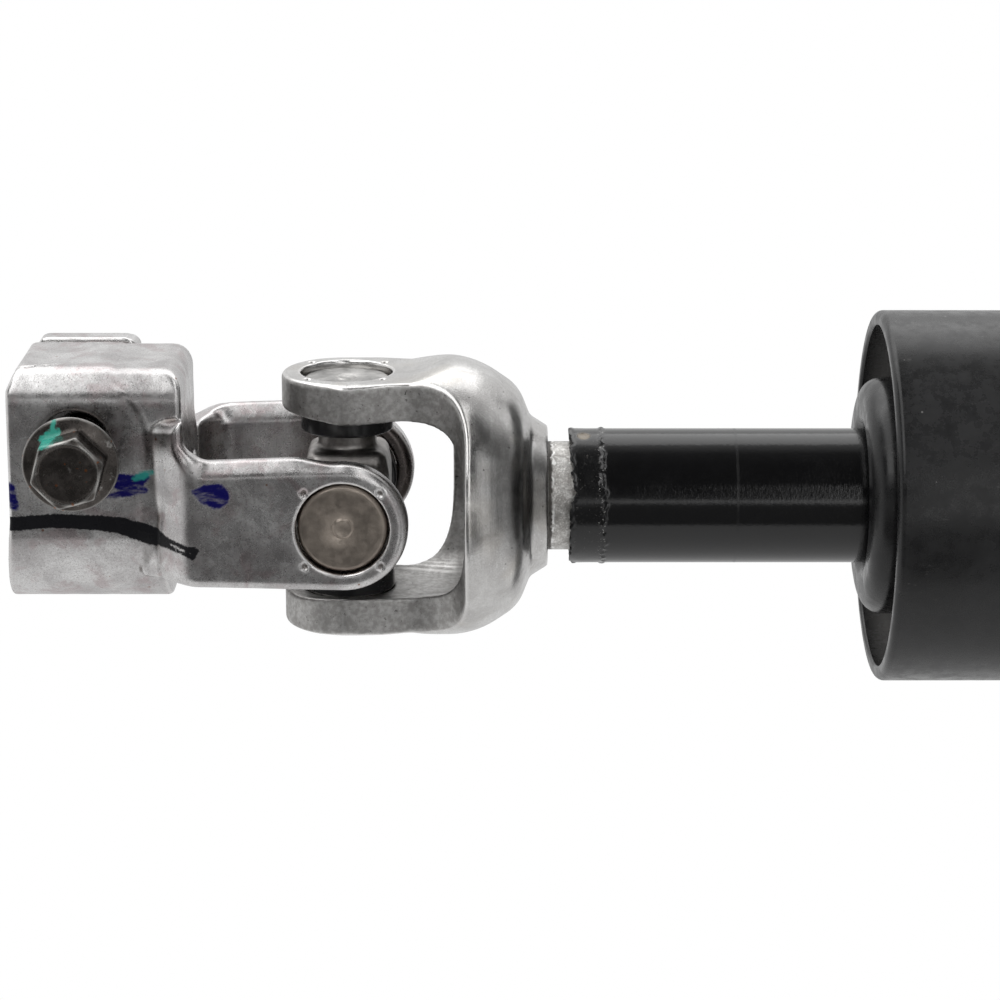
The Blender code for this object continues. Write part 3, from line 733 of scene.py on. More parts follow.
@dataclass(frozen=True)
class ForgedSteel:
    """Blasted forged steel with speckle, a brown tinge, rust specks, worn edges with a painted highlight, and
    painted shade in hollows.
    """

    name: str = "forged_steel_finish"
    tone: Triple = (0.74, 0.735, 0.73)
    layers: tuple[Layer, ...] = (
        Layer("clouds", (0.44, 0.425, 0.425), (0.34, 0.68, 0.0, 1.0)),
        Layer("stains", (0.42, 0.335, 0.34), (0.50, 0.66, 0.0, 0.6)),
        Layer("brushed", (0.44, 0.425, 0.425), (0.30, 0.66, 0.24, 0.0)),
        Layer("grain", (0.25, 0.235, 0.23), (0.28, 0.56, 0.55, 0.0)),
        Layer("grain", (0.95, 0.945, 0.94), (0.62, 0.74, 0.0, 0.75)),
        Layer("pits", (0.09, 0.085, 0.08), (0.08, 0.20, 0.40, 0.0)),
        # Lighter on convex edges: worn polish with a painted highlight. Darker in hollows: painted shade.
        Layer("convex", (0.88, 0.87, 0.86), (0.35, 1.5, 0.0, 0.50)),
        Layer("convex", (0.10, 0.085, 0.075), (-1.2, -0.25, 0.75, 0.0)),
        # Darker inner faces of the ears: dark scale with painted shade.
        Layer("scale_and_shade", (0.13, 0.105, 0.095)),
        Layer("specks", (0.20, 0.075, 0.03), (0.05, 0.11, 0.8, 0.0), ("patches", 0.60, 0.65)),
    )
    pens: tuple[tuple[str, Triple], ...] = (
        ("ink_blue", (0.006, 0.005, 0.095)),
        ("ink_teal", (0.03, 0.27, 0.24)),
    )
    marker: tuple[str, Triple] = ("ink_black", (0.012, 0.012, 0.014))

    def build(self, marked: bool = False) -> Material:
        """The finish.

        Args:
            marked: Whether it carries the pen marks.

        Returns:
            The material.
        """
        graph = Graph(self.name + ("_marked" if marked else ""))
        grain = graph.noise(0.30, 3.0, 0.75)
        pits = graph.spots(0.8)
        colour = graph.painted(self.tone, self.layers, {
            "clouds": graph.noise(9.0, 5.0, 0.58, 0.4),
            "stains": graph.noise(5.5, 4.0, 0.6, 0.6),
            "brushed": graph.noise(0.28, 3.0, 0.7, 0.0, (1.0, 1.0, 0.08)),
            "grain": grain,
            "pits": pits,
            "convex": graph.value("convex"),
            "scale_and_shade": graph.times(graph.value("scale_and_shade"), 0.85),
            "specks": graph.spots(3.1),
            "patches": graph.noise(7.0, 1.0),
        })
        rough = graph.step(graph.noise(2.4, 4.0, 0.6), 0.25, 0.75, 0.22, 0.33)
        graph.bump(grain, 0.010)
        graph.bump(graph.noise(1.8, 3.0, 0.5), 0.025)
        graph.bump(graph.step(pits, 0.05, 0.20), 0.012)
        if marked:
            return self.written_on(graph, colour, rough)
        return graph.finished(colour, rough, 1.0)

    def written_on(self, graph: Graph, colour: Socket, rough: Socket) -> Material:
        """The finish with the pen marks over it.

        Args:
            graph: The material's nodes.
            colour: The steel's colour.
            rough: Its roughness.

        Returns:
            The material.
        """
        blot = graph.times(graph.less(graph.noise(0.7, 4.0, 0.65), 0.5), 0.9)
        thin = graph.step(graph.noise(1.6, 4.0, 0.7, 0.0, (0.35, 1.0, 1.0)), 0.30, 0.48, 0.72, 1.0)
        metal: object = 1.0
        gloss: object = 0.5
        for name, ink in (*self.pens, self.marker):
            reach = graph.plus(graph.value(name), blot)
            if name == self.marker[0]:
                cover = graph.step(reach, -0.22, 0.10, 1.0, 0.0)
            else:
                cover = graph.times(graph.step(reach, -0.45, 0.20, 1.0, 0.0), thin)
            colour = graph.mix(cover, colour, ink)
            metal = graph.less(metal, cover)
            gloss = graph.less(gloss, graph.times(cover, 0.38))
        metal = graph.math("MAXIMUM", metal, 0.0)
        return graph.finished(colour, rough, metal, graph.math("MAXIMUM", gloss, 0.08))


@dataclass(frozen=True)
class TumbledSteel:
    """Forged steel tumbled to a soft shine, with fine pits, drawn-out scratches and sheared flanks."""

    name: str = "tumbled_steel_finish"
    tone: Triple = (0.70, 0.695, 0.685)
    layers: tuple[Layer, ...] = (
        Layer("clouds", (0.52, 0.51, 0.50), (0.35, 0.68, 0.0, 1.0)),
        Layer("turned", (0.52, 0.51, 0.50), (0.30, 0.66, 0.40, 0.0)),
        Layer("grain", (0.34, 0.33, 0.32), (0.28, 0.60, 0.35, 0.0)),
        Layer("grain", (0.93, 0.925, 0.92), (0.60, 0.75, 0.0, 0.6)),
        Layer("warmth", (0.60, 0.55, 0.48), (0.54, 0.68, 0.0, 0.25)),
        Layer("pits", (0.05, 0.045, 0.04), (0.05, 0.11, 0.9, 0.0), ("clouds", 0.48, 0.55)),
        # Lighter on convex edges: worn polish with a painted highlight. Darker in hollows: painted shade.
        Layer("convex", (0.90, 0.89, 0.88), (0.5, 1.8, 0.0, 0.6)),
        Layer("convex", (0.12, 0.105, 0.09), (-1.0, -0.3, 0.6, 0.0)),
    )
    flank_tone: Triple = (0.52, 0.515, 0.505)
    flank_layers: tuple[Layer, ...] = (
        Layer("sheared", (0.36, 0.35, 0.34), (0.35, 0.62, 0.0, 1.0)),
        Layer("nicks", (0.06, 0.055, 0.05), (0.62, 0.68, 0.0, 0.8)),
    )

    def build(self) -> Material:
        """The finish.

        Returns:
            The material.
        """
        graph = Graph(self.name)
        grain = graph.noise(0.28, 3.0, 0.7)
        turned = graph.noise(0.35, 3.0, 0.7, 0.0, (1.0, 0.07, 0.07))
        patterns = {
            "clouds": graph.noise(7.0, 4.0, 0.6, 0.5),
            "grain": grain,
            "turned": turned,
            "warmth": graph.noise(11.0, 2.0),
            "pits": graph.spots(1.9),
            "convex": graph.value("convex"),
            "sheared": graph.noise(1.2, 4.0, 0.7),
            "nicks": graph.noise(0.9, 4.0, 0.75),
        }
        flank = graph.step(graph.value("machined"), 0.35, 0.75)
        colour = graph.painted(self.tone, self.layers, patterns)
        colour = graph.mix(flank, colour, graph.painted(self.flank_tone, self.flank_layers, patterns))
        rough = graph.step(graph.noise(2.0, 4.0, 0.6), 0.3, 0.75, 0.17, 0.27)
        graph.bump(grain, 0.014)
        graph.bump(turned, 0.006)
        graph.bump(graph.noise(3.5, 2.0, 0.5), 0.020)
        return graph.finished(colour, graph.plus(rough, graph.times(flank, 0.26)), 1.0)


@dataclass(frozen=True)
class PlainSteel:
    """Machined or drawn steel in one tone, with grain."""

    name: str
    tone: Triple
    roughness: float
    grain: float = 0.25
    spread: float = 0.5
    rust: float = 0.0
    worn: float = 0.0
    painted: bool = False
    scuff_tone: Triple = (0.58, 0.57, 0.55)
    rust_tone: Triple = (0.28, 0.10, 0.035)
    paint: Triple = (0.04, 0.40, 0.31)

    def build(self) -> Material:
        """The finish.

        Returns:
            The material.
        """
        graph = Graph(self.name)
        dark = tuple(channel * (1 - self.spread) for channel in self.tone)
        light = tuple(min(1.0, channel * (1 + self.spread * 0.6)) for channel in self.tone)
        grain = graph.noise(0.3, 3.0, 0.7)
        patterns = {"clouds": graph.noise(3.5, 4.0, 0.6, 0.4), "grain": grain}
        layers = [
            Layer("clouds", dark, (0.3, 0.7, 0.0, 1.0)),
            Layer("grain", dark, (0.3, 0.72, self.grain, 0.0)),
            Layer("grain", light, (0.56, 0.74, 0.0, self.grain)),
        ]
        if self.worn:
            edges = graph.step(graph.value("convex"), 1.2, 3.5, 0.0, self.worn)
            scuffs = graph.step(graph.noise(3.2, 4.0, 0.7, 0.5), 0.60, 0.70, 0.0, self.worn * 0.6)
            patterns["worn"] = graph.math("MAXIMUM", edges, scuffs)
            layers.append(Layer("worn", self.scuff_tone))
        if self.rust:
            patterns |= {"specks": graph.spots(1.5), "patches": graph.noise(2.5, 2.0)}
            specks = (0.10, 0.24, self.rust, 0.0)
            layers.append(Layer("specks", self.rust_tone, specks, ("patches", 0.50, 0.56)))
        colour = graph.painted(self.tone, layers, patterns)
        rough = graph.noise(1.5, 3.0, 0.6)
        rough = graph.step(rough, 0.3, 0.7, self.roughness - 0.06, self.roughness + 0.08)
        metal: object = 1.0
        if self.painted:
            blot = graph.times(graph.less(graph.noise(0.6, 4.0, 0.75), 0.5), 1.5)
            cover = graph.step(graph.plus(graph.value("ink_teal"), blot), -0.35, 0.10, 1.0, 0.0)
            colour = graph.mix(cover, colour, self.paint)
            metal = graph.less(1.0, cover)
        graph.bump(grain, 0.02)
        return graph.finished(colour, rough, metal)


@dataclass(frozen=True)
class TubeSteel:
    """Drawn steel beside the weld: a dark ring, a bright burr, then bare tube with grain.

    The ring and the burr are given along X, in metres.
    """

    name: str = "tube_finish"
    dark_ring: tuple[float, float] = (-0.0940, -0.0931)
    burr: tuple[float, float] = (-0.0931, -0.0926)
    tone: Triple = (0.72, 0.71, 0.69)
    layers: tuple[Layer, ...] = (
        Layer("blotches", (0.42, 0.405, 0.385), (0.34, 0.62, 0.0, 1.0)),
        Layer("grain", (0.22, 0.21, 0.20), (0.32, 0.62, 0.6, 0.0)),
        Layer("grain", (0.95, 0.94, 0.93), (0.56, 0.70, 0.0, 0.8)),
        Layer("burr", (0.92, 0.915, 0.90)),
        Layer("dark_ring", (0.045, 0.04, 0.036)),
    )

    def build(self) -> Material:
        """The finish.

        Returns:
            The material.
        """
        graph = Graph(self.name)
        grain = graph.noise(0.3, 3.0, 0.7)
        waver = graph.times(graph.less(graph.noise(1.5, 4.0, 0.65), 0.5), 0.0016)
        along = graph.plus(graph.axis("X"), waver)
        broken = graph.step(graph.noise(2.2, 2.0, 0.5), 0.42, 0.55)
        burr = graph.times(graph.inside(along, *self.burr, 0.00012), broken)
        colour = graph.painted(self.tone, self.layers, {
            "blotches": graph.noise(1.8, 4.0, 0.65, 0.3),
            "grain": grain,
            "burr": burr,
            # A dark ring where the tube meets the hub's end.
            "dark_ring": graph.times(graph.inside(along, *self.dark_ring, 0.00015), 0.85),
        })
        rough = graph.step(graph.noise(1.5, 3.0, 0.6), 0.3, 0.7, 0.36, 0.52)
        graph.bump(grain, 0.04)
        graph.bump(burr, 0.08)
        return graph.finished(colour, rough, 1.0)


@dataclass(frozen=True)
class SleevePlastic:
    """Glossy black plastic, scuffed and specked with dust near its torn end, painted glints on its beaded
    lap, and a faint seam.

    Its zones are given along X, in metres.
    """

    name: str = "sleeve_plastic_finish"
    dusty: tuple[float, float] = (-0.0845, -0.0825)
    beaded: tuple[float, float] = (-0.0848, -0.0836)
    seam: tuple[float, float] = (-0.0602, -0.0597)
    tone: Triple = (0.004, 0.004, 0.0045)
    layers: tuple[Layer, ...] = (
        Layer("dust", (0.20, 0.19, 0.18)),
        # Painted glints on the beaded lap.
        Layer("glint", (0.55, 0.54, 0.52)),
        Layer("torn", (0.20, 0.16, 0.11)),
    )
    gloss: float = 0.55

    def build(self) -> Material:
        """The finish.

        Returns:
            The material.
        """
        graph = Graph(self.name)
        along = graph.axis("X")
        near = graph.step(along, *self.dusty, 1.0, 0.0)
        ring = graph.inside(along, *self.beaded, 0.0003)
        seam = graph.inside(along, *self.seam, 0.0001)
        dust = graph.times(graph.step(graph.noise(0.5, 4.0, 0.7), 0.60, 0.70), near)
        # Painted glints on the beaded lap.
        glint = graph.times(graph.step(graph.noise(0.45, 3.0, 0.7), 0.60, 0.68), ring)
        patterns = {"dust": graph.times(dust, 0.40), "glint": graph.times(glint, 0.8)}
        colour = graph.painted(self.tone, self.layers, patterns | {"torn": graph.value("torn")})
        rough = graph.step(graph.noise(3.0, 4.0, 0.65, 0.3), 0.3, 0.75, 0.09, 0.14)
        rough = graph.plus(graph.plus(rough, graph.times(near, 0.06)), graph.times(seam, 0.12))
        graph.bump(graph.noise(0.30, 3.0, 0.75, 0.0, (1.0, 0.02, 0.02)), 0.0060)
        graph.bump(graph.noise(0.55, 3.0, 0.7, 0.0, (1.0, 0.6, 0.6)), 0.0220)
        graph.bump(graph.noise(6.0, 2.0, 0.5), 0.008)
        return graph.finished(colour, rough, 0.0, self.gloss)


@dataclass(frozen=True)
class Rubber:
    """Matte black rubber with a fine skin and light scuffs."""

    name: str
    tone: Triple = (0.008, 0.008, 0.0085)
    roughness: float = 0.27
    scuffs: float = 0.5
    gloss: float = 0.42

    def build(self) -> Material:
        """The finish.

        Returns:
            The material.
        """
        graph = Graph(self.name)
        light = tuple(channel * 3.2 + 0.01 for channel in self.tone)
        streaks = graph.step(graph.noise(3.0, 4.0, 0.7, 0.8, (0.35, 1.0, 1.0)), 0.62, 0.74)
        scuffs = graph.times(streaks, graph.step(graph.noise(0.5, 3.0, 0.7), 0.45, 0.62))
        layers = (
            Layer("clouds", light, (0.40, 0.75, 0.0, 0.35)),
            Layer("scuffs", (0.12, 0.118, 0.115)),
            # Lighter inside the skirt: grey bloom on the rubber, made lighter still as painted light in the
            # shaded cavity.
            Layer("inside", (0.21, 0.205, 0.20)),
            Layer("specks", (0.45, 0.44, 0.43), (0.02, 0.05, self.scuffs, 0.0)),
        )
        colour = graph.painted(self.tone, layers, {
            "clouds": graph.noise(14.0, 4.0, 0.6, 0.3),
            "scuffs": graph.times(scuffs, self.scuffs),
            "inside": graph.value("inside"),
            "specks": graph.spots(4.5),
        })
        rough = graph.noise(3.0, 5.0, 0.7)
        rough = graph.step(rough, 0.3, 0.7, self.roughness - 0.07, self.roughness + 0.10)
        graph.bump(graph.noise(0.35, 3.0, 0.7, 0.0, (0.4, 1.0, 1.0)), 0.010)
        graph.bump(graph.noise(8.0, 2.0, 0.5), 0.04)
        return graph.finished(colour, rough, 0.0, self.gloss)


@dataclass(frozen=True)
class Finishes:
    """Every finish of the shaft, built once."""

    marked: Material
    forged: Material
    tumbled: Material
    ground: Material
    cup: Material
    ear_cup: Material
    bolt: Material
    tube: Material
    sleeve: Material
    dash: Material
    seal: Material
    bush: Material

    @classmethod
    def build(cls) -> "Finishes":
        """All finishes.

        Returns:
            The finishes.
        """
        return cls(
            marked=ForgedSteel().build(marked=True),
            forged=ForgedSteel().build(),
            tumbled=TumbledSteel().build(),
            ground=PlainSteel("ground_steel_finish", (0.42, 0.40, 0.385), 0.40).build(),
            cup=PlainSteel("cup_steel_finish", (0.42, 0.365, 0.315), 0.34, grain=0.35, spread=0.30).build(),
            ear_cup=PlainSteel("ear_cup_finish", (0.56, 0.55, 0.535), 0.36, grain=0.35).build(),
            bolt=PlainSteel(
                "bolt_finish", (0.12, 0.108, 0.10), 0.28, grain=0.6, rust=0.8, worn=0.7, painted=True
            ).build(),
            tube=TubeSteel().build(),
            sleeve=SleevePlastic().build(),
            dash=Rubber("dash_rubber_finish").build(),
            seal=Rubber("seal_rubber_finish", (0.018, 0.018, 0.019), 0.19, 0.1).build(),
            bush=Rubber("bush_plastic_finish", (0.50, 0.48, 0.43), 0.42, 0.1).build(),
        )


# Pen marks, on the plane of the clamp yoke's front face


@dataclass(frozen=True)
class Stroke:
    """A pen or paint mark: a run of (x, z, half width) points in the joint's frame, in millimetres."""

    ink: str
    points: tuple[Triple, ...]

    def distance(self, x: Array, z: Array) -> Array:
        """Signed distance to the mark across its plane.

        Args:
            x: Samples along X.
            z: Samples along Z.

        Returns:
            The distance, negative on the mark.
        """
        nearest = np.full(x.shape, 99.0)
        for (x0, z0, w0), (x1, z1, w1) in zip(self.points, self.points[1:]):
            run_x, run_z = x1 - x0, z1 - z0
            share = np.clip(((x - x0) * run_x + (z - z0) * run_z) / (run_x**2 + run_z**2), 0, 1)
            reach = np.hypot(x - x0 - share * run_x, z - z0 - share * run_z)
            nearest = np.minimum(nearest, reach - w0 - share * (w1 - w0))
        return nearest


CLAMP_MARKS = (
    Stroke("ink_black", (
        (-59.4, -0.4, 1.4), (-51.5, 0.3, 1.4), (-42.7, -0.1, 1.5), (-38.3, -0.9, 1.7),
        (-33.9, -2.5, 1.9), (-31.6, -3.1, 1.2),
    )),
    Stroke("ink_black", ((-32.0, -2.6, 0.5), (-28.3, -3.2, 0.4), (-26.0, -3.9, 0.9))),
    Stroke("ink_black", ((-32.0, -3.6, 0.6), (-28.5, -4.3, 0.35), (-26.3, -4.9, 0.7))),
    Stroke("ink_blue", ((-41.5, 8.1, 1.2), (-38.6, 7.2, 1.8), (-36.0, 7.4, 1.4), (-34.4, 8.2, 0.7))),
    Stroke("ink_blue", ((-42.2, 4.7, 0.5), (-38.5, 5.3, 0.9), (-34.8, 5.9, 0.7))),
    Stroke("ink_blue", ((-26.0, 7.0, 0.5), (-23.6, 6.4, 2.0), (-21.9, 6.2, 2.5))),
    Stroke("ink_blue", ((-58.6, 6.2, 1.1), (-58.0, 3.0, 1.0))),
    Stroke("ink_teal", ((-36.8, 7.9, 0.5), (-35.3, 8.5, 0.9), (-33.6, 9.2, 0.6))),
)
BOLT_PAINT = (
    Stroke("ink_teal", ((-51.0, 18.2, 0.6), (-49.6, 18.9, 0.9), (-47.9, 19.7, 0.5))),
    Stroke("ink_teal", ((-49.0, 19.6, 0.5), (-48.8, 21.6, 0.45))),
)


def inked(shell: Shell, marks: tuple[Stroke, ...], names: tuple[str, ...], front: float) -> Shell:
    """Store each ink's distance on the surface.

    Args:
        shell: The surface, in the joint's frame.
        marks: The marks.
        names: The inks.
        front: Y behind which nothing is marked.

    Returns:
        The same surface, with one value for each ink.
    """
    x, y, z = shell.points.T
    for name in names:
        nearest = np.full(len(x), UNMARKED)
        for mark in marks:
            if mark.ink == name:
                nearest = np.minimum(nearest, mark.distance(x, z))
        shell.values[name] = np.where(y < front, nearest, UNMARKED)
    return shell


# Forged and turned pieces, each in its joint's frame


def stake_marks(space: Space, solid: Array, axis: str, face: float, reach: float = 9.4) -> Array:
    """Punch the marks that hold the cups, on both ears.

    Args:
        space: Where the solid is sampled.
        solid: Signed distance to the yoke.
        axis: The ears' axis.
        face: Distance of the ears' outer faces.
        reach: Distance of the marks from the axis.

    Returns:
        Signed distance to the marked yoke.
    """
    for side, index in itertools.product((-1, 1), range(4)):
        angle = math.pi / 2 * (index + 0.5)
        across, up, out = reach * math.cos(angle), reach * math.sin(angle), side * (face + 0.15)
        centre = (across, up, out) if axis == "Z" else (across, out, up)
        solid = without(solid, space.ball(centre, 0.75), 0.12)
    return solid


@dataclass(frozen=True)
class BellYoke:
    """The forged yoke on the shaft: ears, bell and hub."""

    ear_face: float = 23.3
    ear_thickness: float = 6.4
    ear_radius: float = 11.7
    arm_width: float = 21.0
    arm_fillet: float = 10.0
    ear_fillet: float = 4.0
    rim: float = 21.3
    far_rim: float = 18.9
    radius: float = 25.3
    wall: float = 6.1
    length: float = 36.2
    shoulder: float = 13.0
    cone: tuple[Triple, ...] = (
        (23.0, 25.2, 16.0), (30.9, 20.0, 8.0), (33.0, 14.7, 2.2), (36.2, 12.7, 0.5),
    )
    floor: float = 30.8
    cup_hole: float = 8.25
    hub_bore: float = 10.1
    edge: float = 0.9
    pitch: float = 0.36

    def envelope(self) -> Outline:
        """The turned outer shape.

        Returns:
            (along, radius) points.
        """
        corner = math.hypot(self.ear_face, self.ear_radius)
        back = -self.ear_radius - 4
        flare = eased((self.ear_radius / 2, corner), (self.rim - 8, self.radius))
        ahead = [(along, radius, 0.0) for along, radius in [(back, 0.0), (back, corner), *flare]]
        return rounded([*ahead, *self.cone, (self.length, 0.0, 0.0)])

    def hollow(self) -> Outline:
        """The turned hollow.

        Returns:
            (along, radius) points.
        """
        inner = self.radius - self.wall
        corner = self.shoulder - self.wall / 2
        out = math.hypot(self.ear_face - self.ear_thickness, self.ear_radius)
        profile = [(self.floor, 0.0)]
        profile += [(a, r) for r, a in arc((inner - corner, self.floor - corner), corner, 90, 0)]
        profile += eased((self.floor - corner, inner), (self.ear_radius / 2, out))[1:]
        back = -self.ear_radius - 6
        return profile + [(back, out), (back, 0.0)]

    def plan(self) -> Outline:
        """The outline seen along the ears.

        Returns:
            (x, y) points.
        """
        half = self.arm_width / 2
        past = self.radius + 2
        sides = []
        for rim in (self.far_rim, self.rim):
            bend = arc((rim - self.arm_fillet, half + self.arm_fillet), self.arm_fillet, -90, 0)
            sides.append([(0.0, half), *bend, (rim, past), (self.length + 2, past)])
        return sides[0] + [(a, -b) for a, b in reversed(sides[1])]

    def seen_from_above(self, space: Space) -> Array:
        """Signed distance to the plan: round ears run into the arms and the bell."""
        return union(space.rod("Z", self.ear_radius), space.pushed("Z", self.plan()), self.ear_fillet)

    def build(self, coarseness: float) -> Shell:
        """The yoke's surface.

        Args:
            coarseness: Factor on the spacing of its points.

        Returns:
            The surface.
        """
        back = -self.ear_radius
        out = self.radius + 1.2
        space = Space((back - 1.5, -out, -out), (self.length + 1.5, out, out), self.pitch * coarseness)
        plan = self.seen_from_above(space)
        bulge = 0.45 * np.exp(-(((space.x - 16) / 8) ** 2)) * np.clip(space.z / 12, 0, 1)
        solid = common(space.turned(self.envelope()) - bulge, plan, self.edge)
        runout = self.radius - self.ear_face
        for side in (-1, 1):
            flat = [
                (back - 4, side * self.ear_face),
                (self.ear_radius, side * self.ear_face),
                (self.rim + 2, side * (self.ear_face + 2 * runout)),
                (self.rim + 2, side * (self.radius + self.ear_radius)),
                (back - 4, side * (self.radius + self.ear_radius)),
            ]
            solid = without(solid, space.pushed("Y", flat), self.edge)
        inner = self.ear_face - self.ear_thickness
        hollow = common(space.turned(self.hollow()), space.between("Z", -inner, inner), 2.5)
        hollow = hollow + 0.03 * np.sin(space.x * 1.3 + space.z * 0.5) * np.cos(space.y * 0.9 + 1)
        solid = without(solid, hollow, 0.6)
        solid = without(solid, space.rod("Z", self.cup_hole), 0.3)
        solid = without(solid, space.drum("X", self.hub_bore, 0, FAR), 0.3)
        shell = space.skinned(stake_marks(space, solid, "Z", self.ear_face))
        sheared = np.minimum(np.broadcast_to(np.maximum(-plan, 0), space.shape), np.abs(hollow))
        shell.values["machined"] = 1 - np.clip(space.sampled(sheared, shell.points) / 0.5, 0, 1)
        return shell


@dataclass(frozen=True)
class ClampYoke:
    """The forged yoke that clamps the pinion: split block, joggled fork and ears.

    A crease is given by its place along X, its lowest and highest points, its depth and its width.
    """

    ear_face: float = 22.9
    ear_radius: float = 11.5
    plate: float = 5.5
    arm_height: float = 21.3
    crotch: float = 27.9
    crotch_fillet: float = 6.0
    step: float = 28.3
    step_fillet: float = 5.0
    fork_root: float = 36.5
    fork_inset: float = 1.6
    length: float = 59.0
    foot: float = 2.2
    half_width: float = 18.0
    top: float = 27.0
    top_rounding: float = 6.0
    draft: float = 0.9
    ledge: float = 18.6
    crown: float = 1.8
    belly_step: float = 3.5
    bore: float = 8.5
    tooth: float = 0.6
    teeth: int = 36
    slot: tuple[float, float] = (7.4, 10.2)
    tab: tuple[float, float] = (-57.3, -38.7)
    wall_top: float = 10.0
    bolt: tuple[float, float] = (-47.2, 13.5)
    bolt_hole: float = 4.2
    bolt_seat: float = 6.5
    seat_depth: float = 8.0
    creases: tuple[tuple[float, ...], ...] = ((-32.6, -15, 4, 0.28, 0.35), (-35.4, -14, 7, 0.14, 0.9))
    cup_hole: float = 8.25
    edge: float = 1.8
    pitch: float = 0.42

    def fork_plan(self) -> Outline:
        """The fork seen from above.

        Returns:
            (x, y) points.
        """
        front = self.ear_radius + 2
        root = (-self.fork_root, self.half_width - self.fork_inset)
        side = eased(root, (2.5 - self.step, self.ear_face), 16)
        side += [(front, self.ear_face), (front, self.ear_face - self.plate)]
        corner = (self.crotch_fillet - self.crotch, self.ear_face - self.plate - self.crotch_fillet)
        side += arc(corner, self.crotch_fillet, 90, 180)
        return side + [(a, -b) for a, b in reversed(side)]

    def fork_side(self) -> Outline:
        """The fork seen along its ears.

        Returns:
            (x, z) points.
        """
        half = self.arm_height / 2
        lean = math.degrees(math.asin((self.ear_radius - half) / self.crotch))
        outline = arc((0, 0), self.ear_radius, lean - 90, 90 - lean)
        outline += arc((self.step_fillet - self.step, half + self.step_fillet), self.step_fillet, -90, -180)
        root = -self.fork_root
        return outline + [(-self.step, self.ledge), (root, self.ledge - 1.5), (root, -half)]

    def crowned(self, space: Space) -> Array:
        """How far the arms' upper sides are crowned.

        Args:
            space: Where the solid is sampled.

        Returns:
            The height of the crown.
        """
        across = (np.abs(space.y) - self.ear_face + self.plate / 2) / (self.plate / 2)
        along = np.clip((space.x + 29.5) / 4, 0, 1) * np.clip((-1 - space.x) / 8, 0, 1)
        along = along * along * (3 - 2 * along)
        height = np.where(space.y < 0, self.crown * 0.7, self.crown)
        return height * np.clip(1 - across**2, 0, 1) * along * np.clip((space.z - 4) / 4, 0, 1)

    def section(self) -> Outline:
        """The block seen along the shaft.

        Returns:
            (y, z) points.
        """
        width = self.half_width
        top = rounded([
            (self.draft - width, self.top, self.top_rounding),
            (width - self.draft, self.top, 3.0),
            (width, 0, 0),
            (-width, 0, 0),
        ])
        return arc((0, 0), width, 0, -180) + top[:-2]

    def side(self) -> Outline:
        """The block seen along the bolt.

        Returns:
            (x, z) points.
        """
        end = -self.length
        arm = -self.arm_height / 2 + 0.3
        return rounded([
            (end - self.foot, -self.half_width - 2, 0),
            (end, 0, 0),
            (end, self.top - 3.6, 2.0),
            (end + 1.8, self.top + 0.4, 0),
            (end + 1.8, self.top + 3, 0),
            (-self.step - 12, self.top + 3, 0),
            (-self.step - 12, self.top, 0),
            (-self.step, self.top, 4.0),
            (-self.step, arm, 0),
            (-self.step - self.belly_step, arm, 2.0),
            (-self.step - self.belly_step, -self.half_width - 2, 0),
        ])

    def relief(self, space: Space, solid: Array) -> Array:
        """Forging marks: the boss's edge, the creases, the lap and an uneven skin.

        Args:
            space: Where the solid is sampled.
            solid: Signed distance to the yoke.

        Returns:
            Signed distance to the marked yoke.
        """
        x, y, z = space.x, space.y, space.z
        front = np.clip((-y - 15.5) / 1.5, 0, 1)
        from_bolt = np.hypot(x - self.bolt[0], z - self.bolt[1])
        angle = np.degrees(np.arctan2(z - self.bolt[1], x - self.bolt[0]))
        sweep = np.clip((angle + 28) / 14, 0, 1) * np.clip((88 - angle) / 14, 0, 1)
        ridge = np.exp(-(((from_bolt - 13.4) / 0.42) ** 2)) * 0.08
        plate = 0.05 / (1 + np.exp((from_bolt - 13.2) / 0.25))
        solid = solid - front * sweep * (ridge - plate)
        for centre, low, high, depth, width in self.creases:
            wobble = centre + 0.25 * np.sin(z * 0.55)
            span = np.clip((z - low) / 3, 0, 1) * np.clip((high - z) / 3, 0, 1)
            solid = solid + front * span * depth * np.exp(-(((x - wobble) / width) ** 2))
        lap = 22.2 + 0.5 * np.sin(x * 0.7) + np.clip(-51 - x, 0, 6) * 0.25
        on_top = np.clip((z - 22) / 2, 0, 1) * np.clip((y + 17.5) / 1.5, 0, 1)
        reach = np.clip((x + 60) / 1.5, 0, 1) * np.clip((-46 - x) / 4, 0, 1)
        lap_line = np.abs(y + 12.4 - 0.25 * (x + 57) + 0.3 * np.sin(x * 1.9)) - 0.16
        solid = without(solid, np.maximum(lap_line, -(z - lap)) + (1 - on_top * reach) * 3, 0.1)
        uneven = np.sin(x * 0.9 + z * 0.4) * np.cos(z * 0.7 - y * 0.3)
        uneven = uneven + 0.6 * np.sin(x * 1.7 + 1 + y * 0.3) * np.sin(z * 1.3 + y * 0.5)
        return solid + 0.012 * uneven

